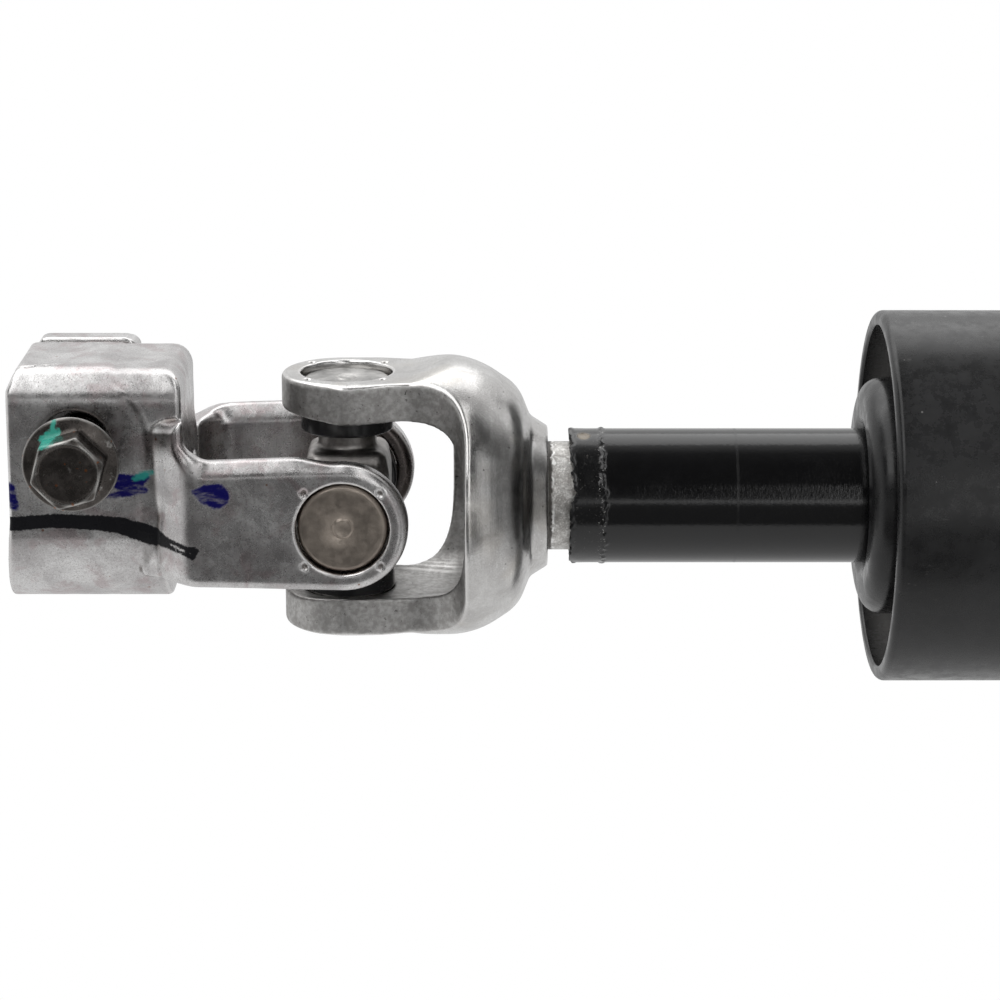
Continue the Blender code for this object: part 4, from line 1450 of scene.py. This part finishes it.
    def build(self, coarseness: float) -> Shell:
        """The yoke's surface.

        Args:
            coarseness: Factor on the spacing of its points.

        Returns:
            The surface.
        """
        low = (-self.length - self.foot - 1.5, -self.ear_face - 1.2, -self.half_width - 1.2)
        high = (self.ear_radius + 1.2, self.ear_face + 1.2, self.top + 1.2)
        space = Space(low, high, self.pitch * coarseness)
        block = common(space.pushed("X", self.section()), space.pushed("Y", self.side()), 0.8)
        fork_side = space.pushed("Y", self.fork_side()) - self.crowned(space)
        fork = common(space.pushed("Z", self.fork_plan()), fork_side, self.edge)
        solid = self.split(space, union(block, fork, 0.6))
        solid = without(solid, self.serrated(space), 0.25)
        solid = without(solid, space.rod("Y", self.bolt_hole, self.bolt), 0.3)
        ahead = space.between("Y", -FAR, self.seat_depth - self.half_width)
        solid = without(solid, common(space.rod("Y", self.bolt_seat, self.bolt), ahead), 0.35)
        solid = without(solid, space.rod("Y", self.cup_hole), 0.3)
        shell = space.skinned(stake_marks(space, self.relief(space, solid), "Y", self.ear_face))
        x, y, _ = shell.points.T
        # Inner faces of the ears, darkened in the finish: dark scale with painted shade.
        facing = np.clip((self.ear_face - self.plate + 0.8 - np.abs(y)) / 0.4, 0, 1)
        shell.values["scale_and_shade"] = facing * np.clip((x + 12) / 6, 0, 1)
        return shell

    def split(self, space: Space, solid: Array) -> Array:
        """Cut the slot through the block's top, and the wall behind it down on both sides of the tab.

        Args:
            space: Where the solid is sampled.
            solid: Signed distance to the block and the fork.

        Returns:
            Signed distance to what is left.
        """
        solid = without(solid, np.maximum(space.between("Y", *self.slot), -space.z), 0.4)
        low, step = self.wall_top, -self.step
        past_end = [(-70.0, low, 0.0)]
        past_arm = [(step + self.step_fillet, low + 2.7, 0.0), (step - 1.5, low, 9.0)]
        for start, edge, chamfer in ((past_end, self.tab[0], 1.2), (past_arm, self.tab[1], -1.2)):
            wall = rounded([
                *start,
                (edge, low, 3.0),
                (edge, self.top - 1.8, 0.8),
                (edge + chamfer, self.top + 0.2, 0),
                (edge + chamfer, self.top + 8, 0),
                (start[0][0], self.top + 8, 0),
            ])
            cut = common(space.pushed("Y", wall), space.between("Y", self.slot[1], FAR), 0.5)
            solid = without(solid, cut, 0.7)
        return solid

    def serrated(self, space: Space) -> Array:
        """The bore that grips the pinion, with its teeth.

        Args:
            space: Where the solid is sampled.

        Returns:
            Signed distance to the bore.
        """
        turn = np.arctan2(space.z, space.y) * self.teeth / (2 * math.pi)
        tooth = np.abs(turn - np.round(turn)) * 2
        reach = self.bore - self.tooth * np.clip((tooth - 0.2) / 0.6, 0, 1)
        return common(space.rod("X", 0) - reach, space.between("X", -90, -10))


@dataclass(frozen=True)
class Cross:
    """The spider: a rounded body with four necks and trunnions."""

    shoulder_height: float = 9.6
    shoulder_radius: float = 7.3
    neck: float = 5.25
    trunnion: float = 4.5
    neck_end: float = 14.7
    end: float = 20.5
    pitch: float = 0.34

    def build(self, coarseness: float) -> Shell:
        """The cross's surface.

        Args:
            coarseness: Factor on the spacing of its points.

        Returns:
            The surface.
        """
        out = self.end + 1
        space = Space((-8.6, -out, -out), (8.6, out, out), self.pitch * coarseness)
        wide, high = self.shoulder_radius, self.shoulder_height
        body = common(space.between("X", -wide, wide), space.between("Y", -wide, wide), 2.4)
        arms = common(body, space.between("Z", -high, high), 2.0)
        body = common(space.between("X", -wide, wide), space.between("Z", -wide, wide), 2.4)
        solid = union(arms, common(body, space.between("Y", -high, high), 2.0), 1.5)
        for axis in ("Y", "Z"):
            solid = union(solid, space.drum(axis, self.neck, -self.neck_end, self.neck_end, 0.3), 0.9)
            solid = union(solid, space.drum(axis, self.trunnion, -self.end, self.end, 0.5))
        return space.skinned(solid)


@dataclass(frozen=True)
class BearingCup:
    """A drawn bearing cup and its needle rollers."""

    radius: float = 8.0
    face: float = 22.2
    mouth: float = 15.0
    edge: float = 1.1
    bore: float = 6.8
    base: float = 1.4
    needle: float = 0.94
    needle_count: int = 14
    segments: int = 96

    def build(self) -> Shell:
        """The cup's surface, closed face at +Z.

        Returns:
            The surface.
        """
        face = self.face
        outline: Outline = [(0, face - 0.22), (0.9, face - 0.20), (1.25, face - 0.06), (1.5, face - 0.03)]
        outline += [(1.9, face - 0.28), (2.3, face - 0.10), (4.4, face - 0.02), (6.2, face - 0.03)]
        outline += arc((self.radius - self.edge, face - self.edge), self.edge, 84, 0, 12)
        outline += [(self.radius, self.mouth + 0.3), (self.radius - 0.3, self.mouth)]
        outline += [(self.bore, self.mouth), (self.bore, face - self.base), (0, face - self.base)]
        return lathe(outline, self.segments)

    def needles(self, name: str, material: Material) -> Piece:
        """The ring of needle rollers, laid out by geometry nodes.

        Args:
            name: The piece's name.
            material: Its finish.

        Returns:
            The rollers as a plain mesh, in metres, with their cup at +Z.
        """
        length = self.face - self.base - self.mouth - 0.9
        lengths = (self.bore - self.needle - 0.04, self.mouth + 0.4 + length / 2, self.needle, length)
        sizes = {label: size * MILLIMETRE for label, size in zip(RingOf.LENGTHS, lengths)}
        return RingOf("needle_ring", material).build(name, {"Count": self.needle_count} | sizes)


class RingOf:
    """A geometry node group that sets rollers evenly round a ring."""

    SIDES = 14
    LENGTHS = ("Ring Radius", "Height", "Roller Radius", "Roller Length")
    NODES = {
        "given": "NodeGroupInput",
        "circle": "GeometryNodeMeshCircle",
        "lift": "ShaderNodeCombineXYZ",
        "moved": "GeometryNodeSetPosition",
        "roller": "GeometryNodeMeshCylinder",
        "onto": "GeometryNodeInstanceOnPoints",
        "real": "GeometryNodeRealizeInstances",
        "painted": "GeometryNodeSetMaterial",
        "result": "NodeGroupOutput",
    }
    LINKS = (
        ("given", "Count", "circle", "Vertices"), ("given", "Ring Radius", "circle", "Radius"),
        ("given", "Height", "lift", "Z"), ("lift", "Vector", "moved", "Offset"),
        ("given", "Roller Radius", "roller", "Radius"), ("given", "Roller Length", "roller", "Depth"),
        ("circle", "Mesh", "moved", "Geometry"), ("moved", "Geometry", "onto", "Points"),
        ("roller", "Mesh", "onto", "Instance"), ("onto", "Instances", "real", "Geometry"),
        ("real", "Geometry", "painted", "Geometry"), ("painted", "Geometry", "result", "Geometry"),
    )

    def __init__(self, name: str, material: Material) -> None:
        self.group = bpy.data.node_groups.get(name) or self.drawn(name, material)

    def drawn(self, name: str, material: Material) -> bpy.types.NodeTree:
        """Draw the group.

        Args:
            name: Its name.
            material: The rollers' finish.

        Returns:
            The node group.
        """
        group = bpy.data.node_groups.new(name, "GeometryNodeTree")
        group.interface.new_socket("Geometry", in_out="OUTPUT", socket_type="NodeSocketGeometry")
        group.interface.new_socket("Count", in_out="INPUT", socket_type="NodeSocketInt")
        for label in self.LENGTHS:
            group.interface.new_socket(label, in_out="INPUT", socket_type="NodeSocketFloat")
        nodes = {label: group.nodes.new(kind) for label, kind in self.NODES.items()}
        for start, output, end, socket in self.LINKS:
            group.links.new(nodes[start].outputs[output], nodes[end].inputs[socket])
        nodes["roller"].inputs["Vertices"].default_value = self.SIDES
        nodes["painted"].inputs["Material"].default_value = material
        return group

    def build(self, name: str, sizes: dict[str, float]) -> Piece:
        """Run the group once.

        Args:
            name: The piece's name.
            sizes: A value for each input.

        Returns:
            The rollers as a plain mesh object.
        """
        holder = bpy.data.objects.new(name + "_holder", bpy.data.meshes.new(name + "_holder"))
        bpy.context.scene.collection.objects.link(holder)
        modifier = holder.modifiers.new("ring", "NODES")
        modifier.node_group = self.group
        for item in self.group.interface.items_tree:
            if item.in_out == "INPUT":
                modifier[item.identifier] = sizes[item.name]
        depsgraph = bpy.context.evaluated_depsgraph_get()
        mesh = bpy.data.meshes.new_from_object(holder.evaluated_get(depsgraph))
        bpy.data.objects.remove(holder, do_unlink=True)
        obj = bpy.data.objects.new(name, mesh)
        bpy.context.scene.collection.objects.link(obj)
        return obj


@dataclass(frozen=True)
class TrunnionSeal:
    """The rubber seal on a trunnion's neck."""

    outer: float = 8.35
    inner: float = 5.5
    top: float = 16.7
    bottom: float = 12.6
    seat: float = 14.7
    cup: float = 8.04
    segments: int = 72

    def build(self) -> Shell:
        """The seal's surface, at +Z.

        Returns:
            The surface.
        """
        outline = rounded([
            (self.inner, self.seat, 0),
            (self.cup, self.seat, 0),
            (self.cup, self.top, 0),
            (self.outer, self.top, 0.12),
            (self.outer, self.bottom + 0.2, 0.5),
            (self.outer - 1.3, self.bottom, 0.3),
            (self.inner, self.bottom, 0.2),
        ])
        return lathe(outline, self.segments)


@dataclass(frozen=True)
class PinchBolt:
    """An M8 flange bolt along Z, the underside of its flange at the origin."""

    radius: float = 4.0
    length: float = 45.0
    across_flats: float = 11.4
    head_height: float = 7.4
    flange_radius: float = 8.4
    thread_pitch: float = 1.25
    thread_depth: float = 0.55
    thread_length: float = 30.0
    turn: float = math.radians(15)
    lean: float = math.radians(1.4)
    nut_y: float = 10.0
    flange_y: float = -28.5
    pitch: float = 0.28

    def build(self, coarseness: float) -> Shell:
        """The bolt's surface.

        Args:
            coarseness: Factor on the spacing of its points.

        Returns:
            The surface.
        """
        out = self.flange_radius + 0.6
        low, high = (-out, -out, -self.length - 0.8), (out, out, self.head_height + 0.8)
        space = Space(low, high, self.pitch * coarseness)
        radii = np.hypot(space.x, space.y)
        flange = common(radii - self.flange_radius, space.between("Z", 0, 1.7), 0.25)
        slope = (radii - self.flange_radius) * 0.316 + (space.z - 0.8) * 0.949
        flange = common(flange, slope, 0.3)
        hexagon = np.full(radii.shape, -FAR)
        for index in range(3):
            angle = math.radians(30) + index * math.pi / 3
            face = np.abs(space.x * math.cos(angle) + space.y * math.sin(angle)) - self.across_flats / 2
            hexagon = common(hexagon, face, 0.35)
        head = common(hexagon, space.between("Z", 0.4, self.head_height), 0.25)
        crown = (radii - self.across_flats / 2 + 0.35) * 0.5 + (space.z - self.head_height) * 0.866
        head = common(head, crown, 0.2)
        dish = common(radii - 5.0, space.between("Z", self.head_height - 0.28, FAR), 0.2)
        head = without(head, dish, 0.25)
        solid = union(flange, head, 0.6)
        wave = np.arctan2(space.y, space.x) / (2 * math.pi) - space.z / self.thread_pitch
        groove = 1 - np.abs(wave - np.floor(wave) - 0.5) * 2
        threaded = np.clip((self.thread_length - self.length - space.z) / 0.8, 0, 1)
        shank = radii - self.radius + self.thread_depth * threaded * (1 - groove)
        shank = common(shank, space.between("Z", -self.length, 1), 0.3)
        tip = (radii - self.radius + 0.9) * 0.707 - (space.z + self.length) * 0.707
        shank = common(shank, tip, 0.1)
        return space.skinned(union(solid, shank, 0.3))


@dataclass(frozen=True)
class DashSeal:
    """The rubber dash seal: skirt, web and hub."""

    outer: float = 33.65
    wall: float = 2.7
    half_length: float = 33.2
    hub: float = 21.5
    hub_front: float = -36.0
    lean: float = 0.006
    shift: float = 1.0
    hub_rear: float = 5.3
    mouth: float = 13.0
    groove: float = 15.15
    groove_ends: tuple[float, float] = (-28.95, -8.45)
    web: tuple[float, float] = (-15.2, -10.7)
    segments: int = 192

    def build(self) -> Shell:
        """The seal's surface, along X.

        Returns:
            The surface.
        """
        outer, inner = self.outer, self.outer - self.wall
        outline = rounded([
            (outer, self.half_length, 0.5),
            (inner, self.half_length, 0.4),
            (inner, self.web[1], 1.5),
            (self.hub, self.web[1], 1.5),
            (self.hub, self.hub_rear, 1.2),
            (self.mouth, self.hub_rear, 0.4),
            (self.mouth, self.groove_ends[1], 0),
            (self.groove, self.groove_ends[1], 0),
            (self.groove, self.groove_ends[0], 0),
            (self.mouth, self.groove_ends[0], 0),
            (self.mouth, self.hub_front, 2.0),
            (self.hub, self.hub_front, 4.0),
            (self.hub, self.web[0], 1.5),
            (inner, self.web[0], 1.5),
            (inner, -self.half_length, 0.6),
            (outer, -self.half_length, 1.8),
        ])
        spread: Outline = []
        for (r0, a0), (r1, a1) in zip(outline, outline[1:] + outline[:1]):
            steps = max(1, round(math.hypot(r1 - r0, a1 - a0) / 4))
            spread += [(r0 + (r1 - r0) * i / steps, a0 + (a1 - a0) * i / steps) for i in range(steps)]
        shell = lathe(spread[::-1], self.segments, "X")
        x, y, z = shell.points.T
        angle = np.arctan2(z, y)
        radii = np.hypot(y, z)
        soft = np.clip((radii - 29) / 3, 0, 1)
        swell = 1 + soft * (0.0012 * np.sin(2 * angle + 0.6 + x * 0.05) - 0.0014)
        shell.points[:, 0] -= (self.shift + self.lean * y) * np.clip((-10 - x) / 10, 0, 1)
        shell.points[:, 1] *= swell
        shell.points[:, 2] *= swell
        # Inside of the skirt, lightened in the finish: grey bloom with painted light.
        skirt = np.clip((radii - self.hub - 1) / 2, 0, 1) * np.clip((inner + 0.4 - radii) / 0.3, 0, 1)
        shell.values["inside"] = skirt * np.clip((x + self.half_length - 0.5) / 1.5, 0, 1)
        return shell


@dataclass(frozen=True)
class TubeSleeve:
    """The plastic sleeve on the tube, torn at its lower end.

    A tear's wave is given by its count round the sleeve, its size and its phase.
    """

    outer: float = 12.2
    inner: float = 10.1
    start: float = -90.0
    end: float = 44.0
    pocket: tuple[float, float] = (2.6, 1.79)
    pocket_size: tuple[float, float] = (1.3, 1.4)
    pocket_depth: float = 0.3
    chamfer: float = 0.3
    detailed: float = 9.0
    tears: tuple[Triple, ...] = (
        (3, 0.9, 0.0), (7, 0.7, 1.0), (13, 0.6, 2.0), (29, 0.5, 0.7), (53, 0.45, 2.4), (97, 0.3, 4.1),
    )
    segments: int = 288

    def ragged(self, angle: Array) -> Array:
        """How far the torn edge is set back.

        Args:
            angle: Angles round the sleeve.

        Returns:
            The setback in millimetres.
        """
        total = sum(size * np.sin(count * angle + phase) for count, size, phase in self.tears)
        return np.clip(0.40 + 0.33 * total, 0.0, 1.3)

    def lay(self, distance: float, angle: Array) -> Array:
        """How far the surface stands out at the torn end: a lip, a beaded lap and lumps.

        Args:
            distance: Distance from the end.
            angle: Angles round the sleeve.

        Returns:
            The rise in millimetres.
        """
        lip = 0.20 * np.exp(-(((distance - 0.4) / 0.40) ** 2)) * np.sin(11 * angle + 17 * np.sin(angle))
        waves = ((0.25, 2, 1), (0.2, 9, 0), (0.2, 31, 2))
        centre = 6.1 + sum(size * np.sin(count * angle + phase) for size, count, phase in waves)
        beads = 0.45 + 0.35 * np.sin(37 * angle + 3 * np.sin(5 * angle)) + 0.35 * np.sin(14 * angle + 1)
        lap = 0.24 * np.exp(-(((distance - centre) / 0.35) ** 2)) * beads
        lump = 0.05 * np.sin(7 * angle + 2 * np.sin(3 * angle))
        lump = lump * np.sin(distance * 1.1 + 2 * np.sin(5 * angle)) * np.exp(-distance / 2)
        return np.clip(lip + lap + lump, -0.15, 0.30)

    def torn_spot(self, distance: float, angle: Array) -> Array:
        """How much of the torn spot's depth is reached.

        Args:
            distance: Distance from the end.
            angle: Angles round the sleeve.

        Returns:
            The share, from 0 to 1.
        """
        along = (distance - self.pocket[0]) / self.pocket_size[0]
        across = (angle - self.pocket[1]) * self.outer / self.pocket_size[1]
        return np.clip(1.2 - along**2 - across**2, 0, 1)

    def build(self) -> Shell:
        """The sleeve's surface, along X.

        Returns:
            The surface.
        """
        angle = 2 * np.pi * np.arange(self.segments) / self.segments
        setback = self.ragged(angle)
        coarse = np.linspace(self.detailed, self.end - self.start, 24)[1:]
        rings, torn = [], []
        for distance in (*np.linspace(0, self.detailed, 60), *coarse):
            spot = self.torn_spot(distance, angle)
            x = self.start + distance + setback * np.exp(-distance / 1.2)
            rings.append((x, self.outer + self.lay(distance, angle) - self.pocket_depth * spot))
            torn.append(np.clip(spot * 1.5, 0, 1))
        rings[-1] = (rings[-1][0], rings[-1][1] - self.chamfer)
        for edge in (np.full(self.segments, self.end), self.start + 0.15 + setback):
            rings.append((edge, np.full(self.segments, self.inner)))
            torn.append(np.zeros(self.segments))
        points = [np.stack([x, radius * np.cos(angle), radius * np.sin(angle)], 1) for x, radius in rings]
        faces = []
        here = np.arange(self.segments)
        for ring in range(len(rings)):
            first, last = ring * self.segments, (ring + 1) % len(rings) * self.segments
            beside = np.roll(here, -1)
            faces.append(np.stack([first + here, first + beside, last + beside, last + here], 1))
        return Shell(np.vstack(points), np.vstack(faces), values={"torn": np.concatenate(torn)})


@dataclass(frozen=True)
class ShaftTube:
    """The drawn tube, with the splined bore that the bar slides in."""

    outer: float = 9.85
    bore: float = 7.25
    spline_depth: float = 1.1
    splines: int = 10
    start: float = -98.95
    end: float = 48.0
    segments: int = 240

    def build(self) -> Shell:
        """The tube's surface, along X.

        Returns:
            The surface.
        """
        middle = self.outer - 0.5
        shell = lathe([
            (self.bore, self.end),
            (middle, self.end),
            (self.outer, self.end - 0.5),
            (self.outer, self.start),
            (self.bore, self.start),
        ], self.segments, "X")
        _, y, z = shell.points.T
        radii = np.hypot(y, z)
        turn = np.arctan2(z, y) * self.splines / (2 * math.pi)
        tooth = np.abs(turn - np.round(turn)) * 2
        depth = self.spline_depth * np.clip((tooth - 0.40) / 0.20, 0, 1)
        reach = np.where(radii < self.bore + 0.1, 1 - depth / self.bore, 1.0)
        shell.points[:, 1] *= reach
        shell.points[:, 2] *= reach
        return shell


# Assemblies


class JointEnd:
    """One universal joint with its two yokes, dressed."""

    def __init__(self, end: End, finishes: Finishes) -> None:
        self.end = end
        self.finishes = finishes
        self.lower = end is End.LOWER
        self.place = end.placement()
        self.cross_body = end.prefix + "_cross"
        self.clamp_body = end.prefix + "_clamp"

    def build(self) -> None:
        """Build and place every piece of this end."""
        self.build_yokes()
        self.build_bearings()
        self.build_bolt()

    def dress(self, node: str, form: str, shell: Shell, finish: Material, body: str, slot: str) -> None:
        """Put a surface in the place of one of this end's solids.

        Args:
            node: The solid's name, less the end's.
            form: What is added to it for the piece's name.
            shell: The surface, in the joint's frame.
            finish: Its finish.
            body: The body it rides on.
            slot: The record's material slot.
        """
        name = f"{self.end.prefix}_{node}"
        piece = published(f"{name}_{form}", shell.moved(self.place), finish, shell.normals is None)
        placed(piece, body, slot, name)

    def build_yokes(self) -> None:
        """The bell yoke, the cross and the clamp yoke."""
        coarseness, finishes = self.end.coarseness, self.finishes
        bell = BellYoke().build(coarseness)
        self.dress("bell_yoke", "forged", bell, finishes.tumbled, self.end.bell_body, "polished_steel")
        cross = Cross().build(coarseness)
        self.dress("cross", "ground", cross, finishes.ground, self.cross_body, "ground_steel")
        clamp = ClampYoke().build(coarseness)
        if self.lower:
            clamp = inked(clamp, CLAMP_MARKS, ("ink_black", "ink_blue", "ink_teal"), -14.0)
        finish = finishes.marked if self.lower else finishes.forged
        self.dress("clamp_yoke", "forged", clamp, finish, self.clamp_body, "forged_steel")

    def build_bearings(self) -> None:
        """The cups, their needle rollers and the seals."""
        finishes = self.finishes
        for ear in Ear:
            turn = ear.placement()
            on_bell = ear.yoke == "bell"
            body = self.end.bell_body if on_bell else self.clamp_body
            finish = finishes.ear_cup if on_bell else finishes.cup
            cup = BearingCup().build().moved(turn)
            self.dress(f"{ear.yoke}_cup_{ear.side}", "shell", cup, finish, body, "bearing_steel")
            rollers = BearingCup().needles(f"{self.end.prefix}_needles_{ear.side}", finishes.ground)
            metres = Matrix.Scale(MILLIMETRE, 4) @ self.place @ turn @ Matrix.Scale(1 / MILLIMETRE, 4)
            rollers.data.transform(metres)
            placed(rollers, body, "ground_steel")
            seal = TrunnionSeal().build().moved(turn)
            self.dress(f"seal_{ear.side}", "ring", seal, finishes.seal, self.cross_body, "seal_rubber")

    def build_bolt(self) -> None:
        """The pinch bolt, backed out as in the photo and leaning about its nut's place."""
        spec = PinchBolt()
        x, z = ClampYoke().bolt
        nut = Matrix.Translation((x, spec.nut_y, z))
        lean = nut @ Matrix.Rotation(spec.lean, 4, "Z") @ nut.inverted()
        turn = Matrix.Rotation(-spec.turn, 4, "Y") @ Matrix.Rotation(math.pi / 2, 4, "X")
        bolt = spec.build(self.end.bolt_coarseness)
        bolt = bolt.moved(lean @ Matrix.Translation((x, spec.flange_y, z)) @ turn)
        bolt = inked(bolt, BOLT_PAINT if self.lower else (), ("ink_teal",), spec.flange_y - 0.5)
        self.dress("pinch_bolt", "m8", bolt, self.finishes.bolt, self.clamp_body, "phosphated_steel")


class ShaftMiddle:
    """The tube, the sleeve, the sliding bar and the dash seal."""

    def __init__(self, finishes: Finishes) -> None:
        self.finishes = finishes

    def build(self) -> None:
        """Build and place every piece of the middle."""
        finishes = self.finishes
        sleeve = published("tube_sleeve_torn", TubeSleeve().build(), finishes.sleeve)
        placed(sleeve, "shaft", "sleeve_plastic", "tube_sleeve")
        seal = published("dash_seal_moulded", DashSeal().build(), finishes.dash, True)
        placed(seal, "dash_seal", "dash_rubber", "dash_seal")
        bush = published("dash_seal_bush_ring", self.bush(), finishes.bush, True)
        placed(bush, "dash_seal", "bush_plastic", "dash_seal_bush")
        tube = published("shaft_tube_drawn", ShaftTube().build(), finishes.tube, True)
        placed(tube, "shaft", "drawn_steel", "shaft_tube")
        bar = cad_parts["sliding_bar"].data.materials
        bar.clear()
        bar.append(finishes.ground)

    def bush(self) -> Shell:
        """The bush under the dash seal, as large as its solid and open for the sleeve.

        Returns:
            The surface.
        """
        low, high = (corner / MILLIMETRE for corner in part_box("dash_seal_bush"))
        inner = TubeSleeve().outer + 0.35
        return lathe([(high.z, low.x), (inner, low.x), (inner, high.x), (high.z, high.x)], 144, "X")


# Studio


@dataclass(frozen=True)
class Panel:
    """A light or dark panel in the surroundings.

    Attributes:
        side: Where it starts and ends, as the X part of its direction.
        height: Where it starts and ends round the X axis, in degrees as in Surroundings.LEVELS.
        level: How bright it is.
    """

    side: tuple[float, float]
    height: tuple[float, float]
    level: float


class Surroundings(Nodes):
    """A studio as the metal sees it: pale table, dark room in front, bright backdrop behind.

    Levels run round the X axis, in degrees from the horizon in front, over the top to the one behind.
    """

    LEVELS = (
        (-180, 0.72), (-130, 0.74), (-85, 0.78), (-38.5, 0.70), (-35.5, 0.13), (-8, 0.14), (0, 0.18),
        (4.5, 1.25), (9, 0.18), (20, 0.05), (70, 0.05), (92, 0.12), (106, 0.50), (122, 0.92),
        (150, 0.92), (165, 0.82), (180, 0.82),
    )
    SIDES = {"left": 0.85, "right": 0.16}
    PANELS = (
        Panel((-0.60, -0.10), (30, 122), 1.90),
        Panel((0.22, 0.44), (-32, 14), 0.80),
        Panel((0.22, 0.44), (14, 100), 1.60),
        Panel((0.15, 0.22), (0, 32), 2.20),
        Panel((0.66, 0.86), (-32, 62), 0.55),
        Panel((0.58, 0.95), (135, 181), 0.08),
        Panel((0.58, 0.95), (-181, -120), 0.12),
    )

    def build(self) -> None:
        """Feed the world's output."""
        self.tree.nodes.remove(self.tree.nodes["Background"])
        round_x = self.math("ARCTAN2", self.axis("Z"), self.times(self.axis("Y"), -1.0))
        share = self.plus(self.math("DIVIDE", round_x, 2 * math.pi), 0.5)
        ramp = self.node("ShaderNodeValToRGB")
        self.link(share, ramp.inputs[0])
        stops = ramp.color_ramp.elements
        while len(stops) < len(self.LEVELS):
            stops.new(0.5)
        for stop, (angle, level) in zip(stops, self.LEVELS):
            stop.position = angle / 360 + 0.5
            stop.color = (level, level, level, 1.0)
        along = self.axis("X")
        colour = self.mix(self.step(along, 0.72, 0.97), ramp.outputs[0], (self.SIDES["right"],) * 3)
        colour = self.mix(self.step(along, -0.72, -0.97), colour, (self.SIDES["left"],) * 3)
        for panel in self.PANELS:
            start, end = (angle / 360 + 0.5 for angle in panel.height)
            across = self.inside(along, *panel.side, 0.02)
            cover = self.times(across, self.inside(share, start, end, 0.006))
            colour = self.mix(cover, colour, (panel.level,) * 3)
        around = self.feed(self.node("ShaderNodeBackground"), {"Color": colour})
        white = self.feed(self.node("ShaderNodeBackground"), {"Color": (1.0, 1.0, 1.0)})
        out = self.tree.nodes["World Output"]
        self.link(self.seen(around, white), out.inputs["Surface"])


@dataclass(frozen=True)
class SoftBox:
    """A flat light aimed at the object.

    Attributes:
        name: Its name.
        place: Where it stands.
        size: Width and height.
        level: How bright its face is, where white paper in full light is 1.
    """

    name: str
    place: Triple
    size: tuple[float, float]
    level: float

    def build(self, target: Vector) -> None:
        """Set up the light.

        Args:
            target: Where it is aimed.
        """
        data = bpy.data.lights.new(self.name, "AREA")
        data.shape = "RECTANGLE"
        data.size, data.size_y = self.size
        data.energy = self.level * math.pi * self.size[0] * self.size[1]
        light = bpy.data.objects.new(self.name, data)
        light.location = self.place
        light.rotation_euler = (target - light.location).to_track_quat("-Z", "Y").to_euler()
        bpy.context.scene.collection.objects.link(light)


@dataclass(frozen=True)
class Studio:
    """The floor, the lights and the camera, at the photo's own angle."""

    target: Triple = (-0.1024, 0.0, -0.0009)
    distance: float = 0.570
    elevation: float = 15.6
    lens: float = 112.7
    sensor: float = 36.0
    floor: float = 6.0
    boxes: tuple[SoftBox, ...] = (
        SoftBox("back_box", (-0.25, 0.55, 0.75), (1.20, 0.60), 1.0),
    )

    def build(self) -> None:
        """Build the studio."""
        world = bpy.data.worlds.new("studio")
        bpy.context.scene.world = world
        world.use_nodes = True
        Surroundings(world.node_tree, "Generated").build()
        self.build_floor()
        for box in self.boxes:
            box.build(Vector(self.target))
        self.build_camera()

    def build_floor(self) -> None:
        """A plain floor, white to the camera as in the photo. Other rays go on to the surroundings."""
        mesh = bpy.data.meshes.new("floor")
        corners = [(self.floor * a, self.floor * b, FLOOR_Z) for a, b in ((-1, -1), (1, -1), (1, 1), (-1, 1))]
        mesh.from_pydata(corners, [], [(0, 1, 2, 3)])
        material = bpy.data.materials.new("floor")
        material.use_nodes = True
        nodes = Nodes(material.node_tree, "Object")
        nodes.tree.nodes.remove(nodes.tree.nodes["Principled BSDF"])
        clear = nodes.node("ShaderNodeBsdfTransparent")
        white = nodes.node("ShaderNodeEmission")
        out = nodes.tree.nodes["Material Output"]
        nodes.link(nodes.seen(clear.outputs[0], white.outputs[0]), out.inputs["Surface"])
        mesh.materials.append(material)
        floor = bpy.data.objects.new("floor", mesh)
        bpy.context.scene.collection.objects.link(floor)

    def build_camera(self) -> None:
        """The camera that took the photo, as far as it can be told."""
        rise = math.radians(self.elevation)
        back = Vector((0, -math.cos(rise), math.sin(rise)))
        data = bpy.data.cameras.new("camera")
        data.lens = self.lens
        data.sensor_width = self.sensor
        data.clip_start = 0.01
        camera = bpy.data.objects.new("camera", data)
        camera.location = Vector(self.target) + back * self.distance
        camera.rotation_euler = (-back).to_track_quat("-Z", "Y").to_euler()
        bpy.context.scene.collection.objects.link(camera)
        bpy.context.scene.camera = camera


def main() -> None:
    """Dress the shaft and set up the studio."""
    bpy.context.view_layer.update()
    finishes = Finishes.build()
    for end in End:
        JointEnd(end, finishes).build()
        log.info("%s end dressed", end.prefix)
    ShaftMiddle(finishes).build()
    log.info("middle dressed")
    Studio().build()
    bpy.context.scene.view_settings.view_transform = "Standard"


if __name__ == "__main__":
    main()
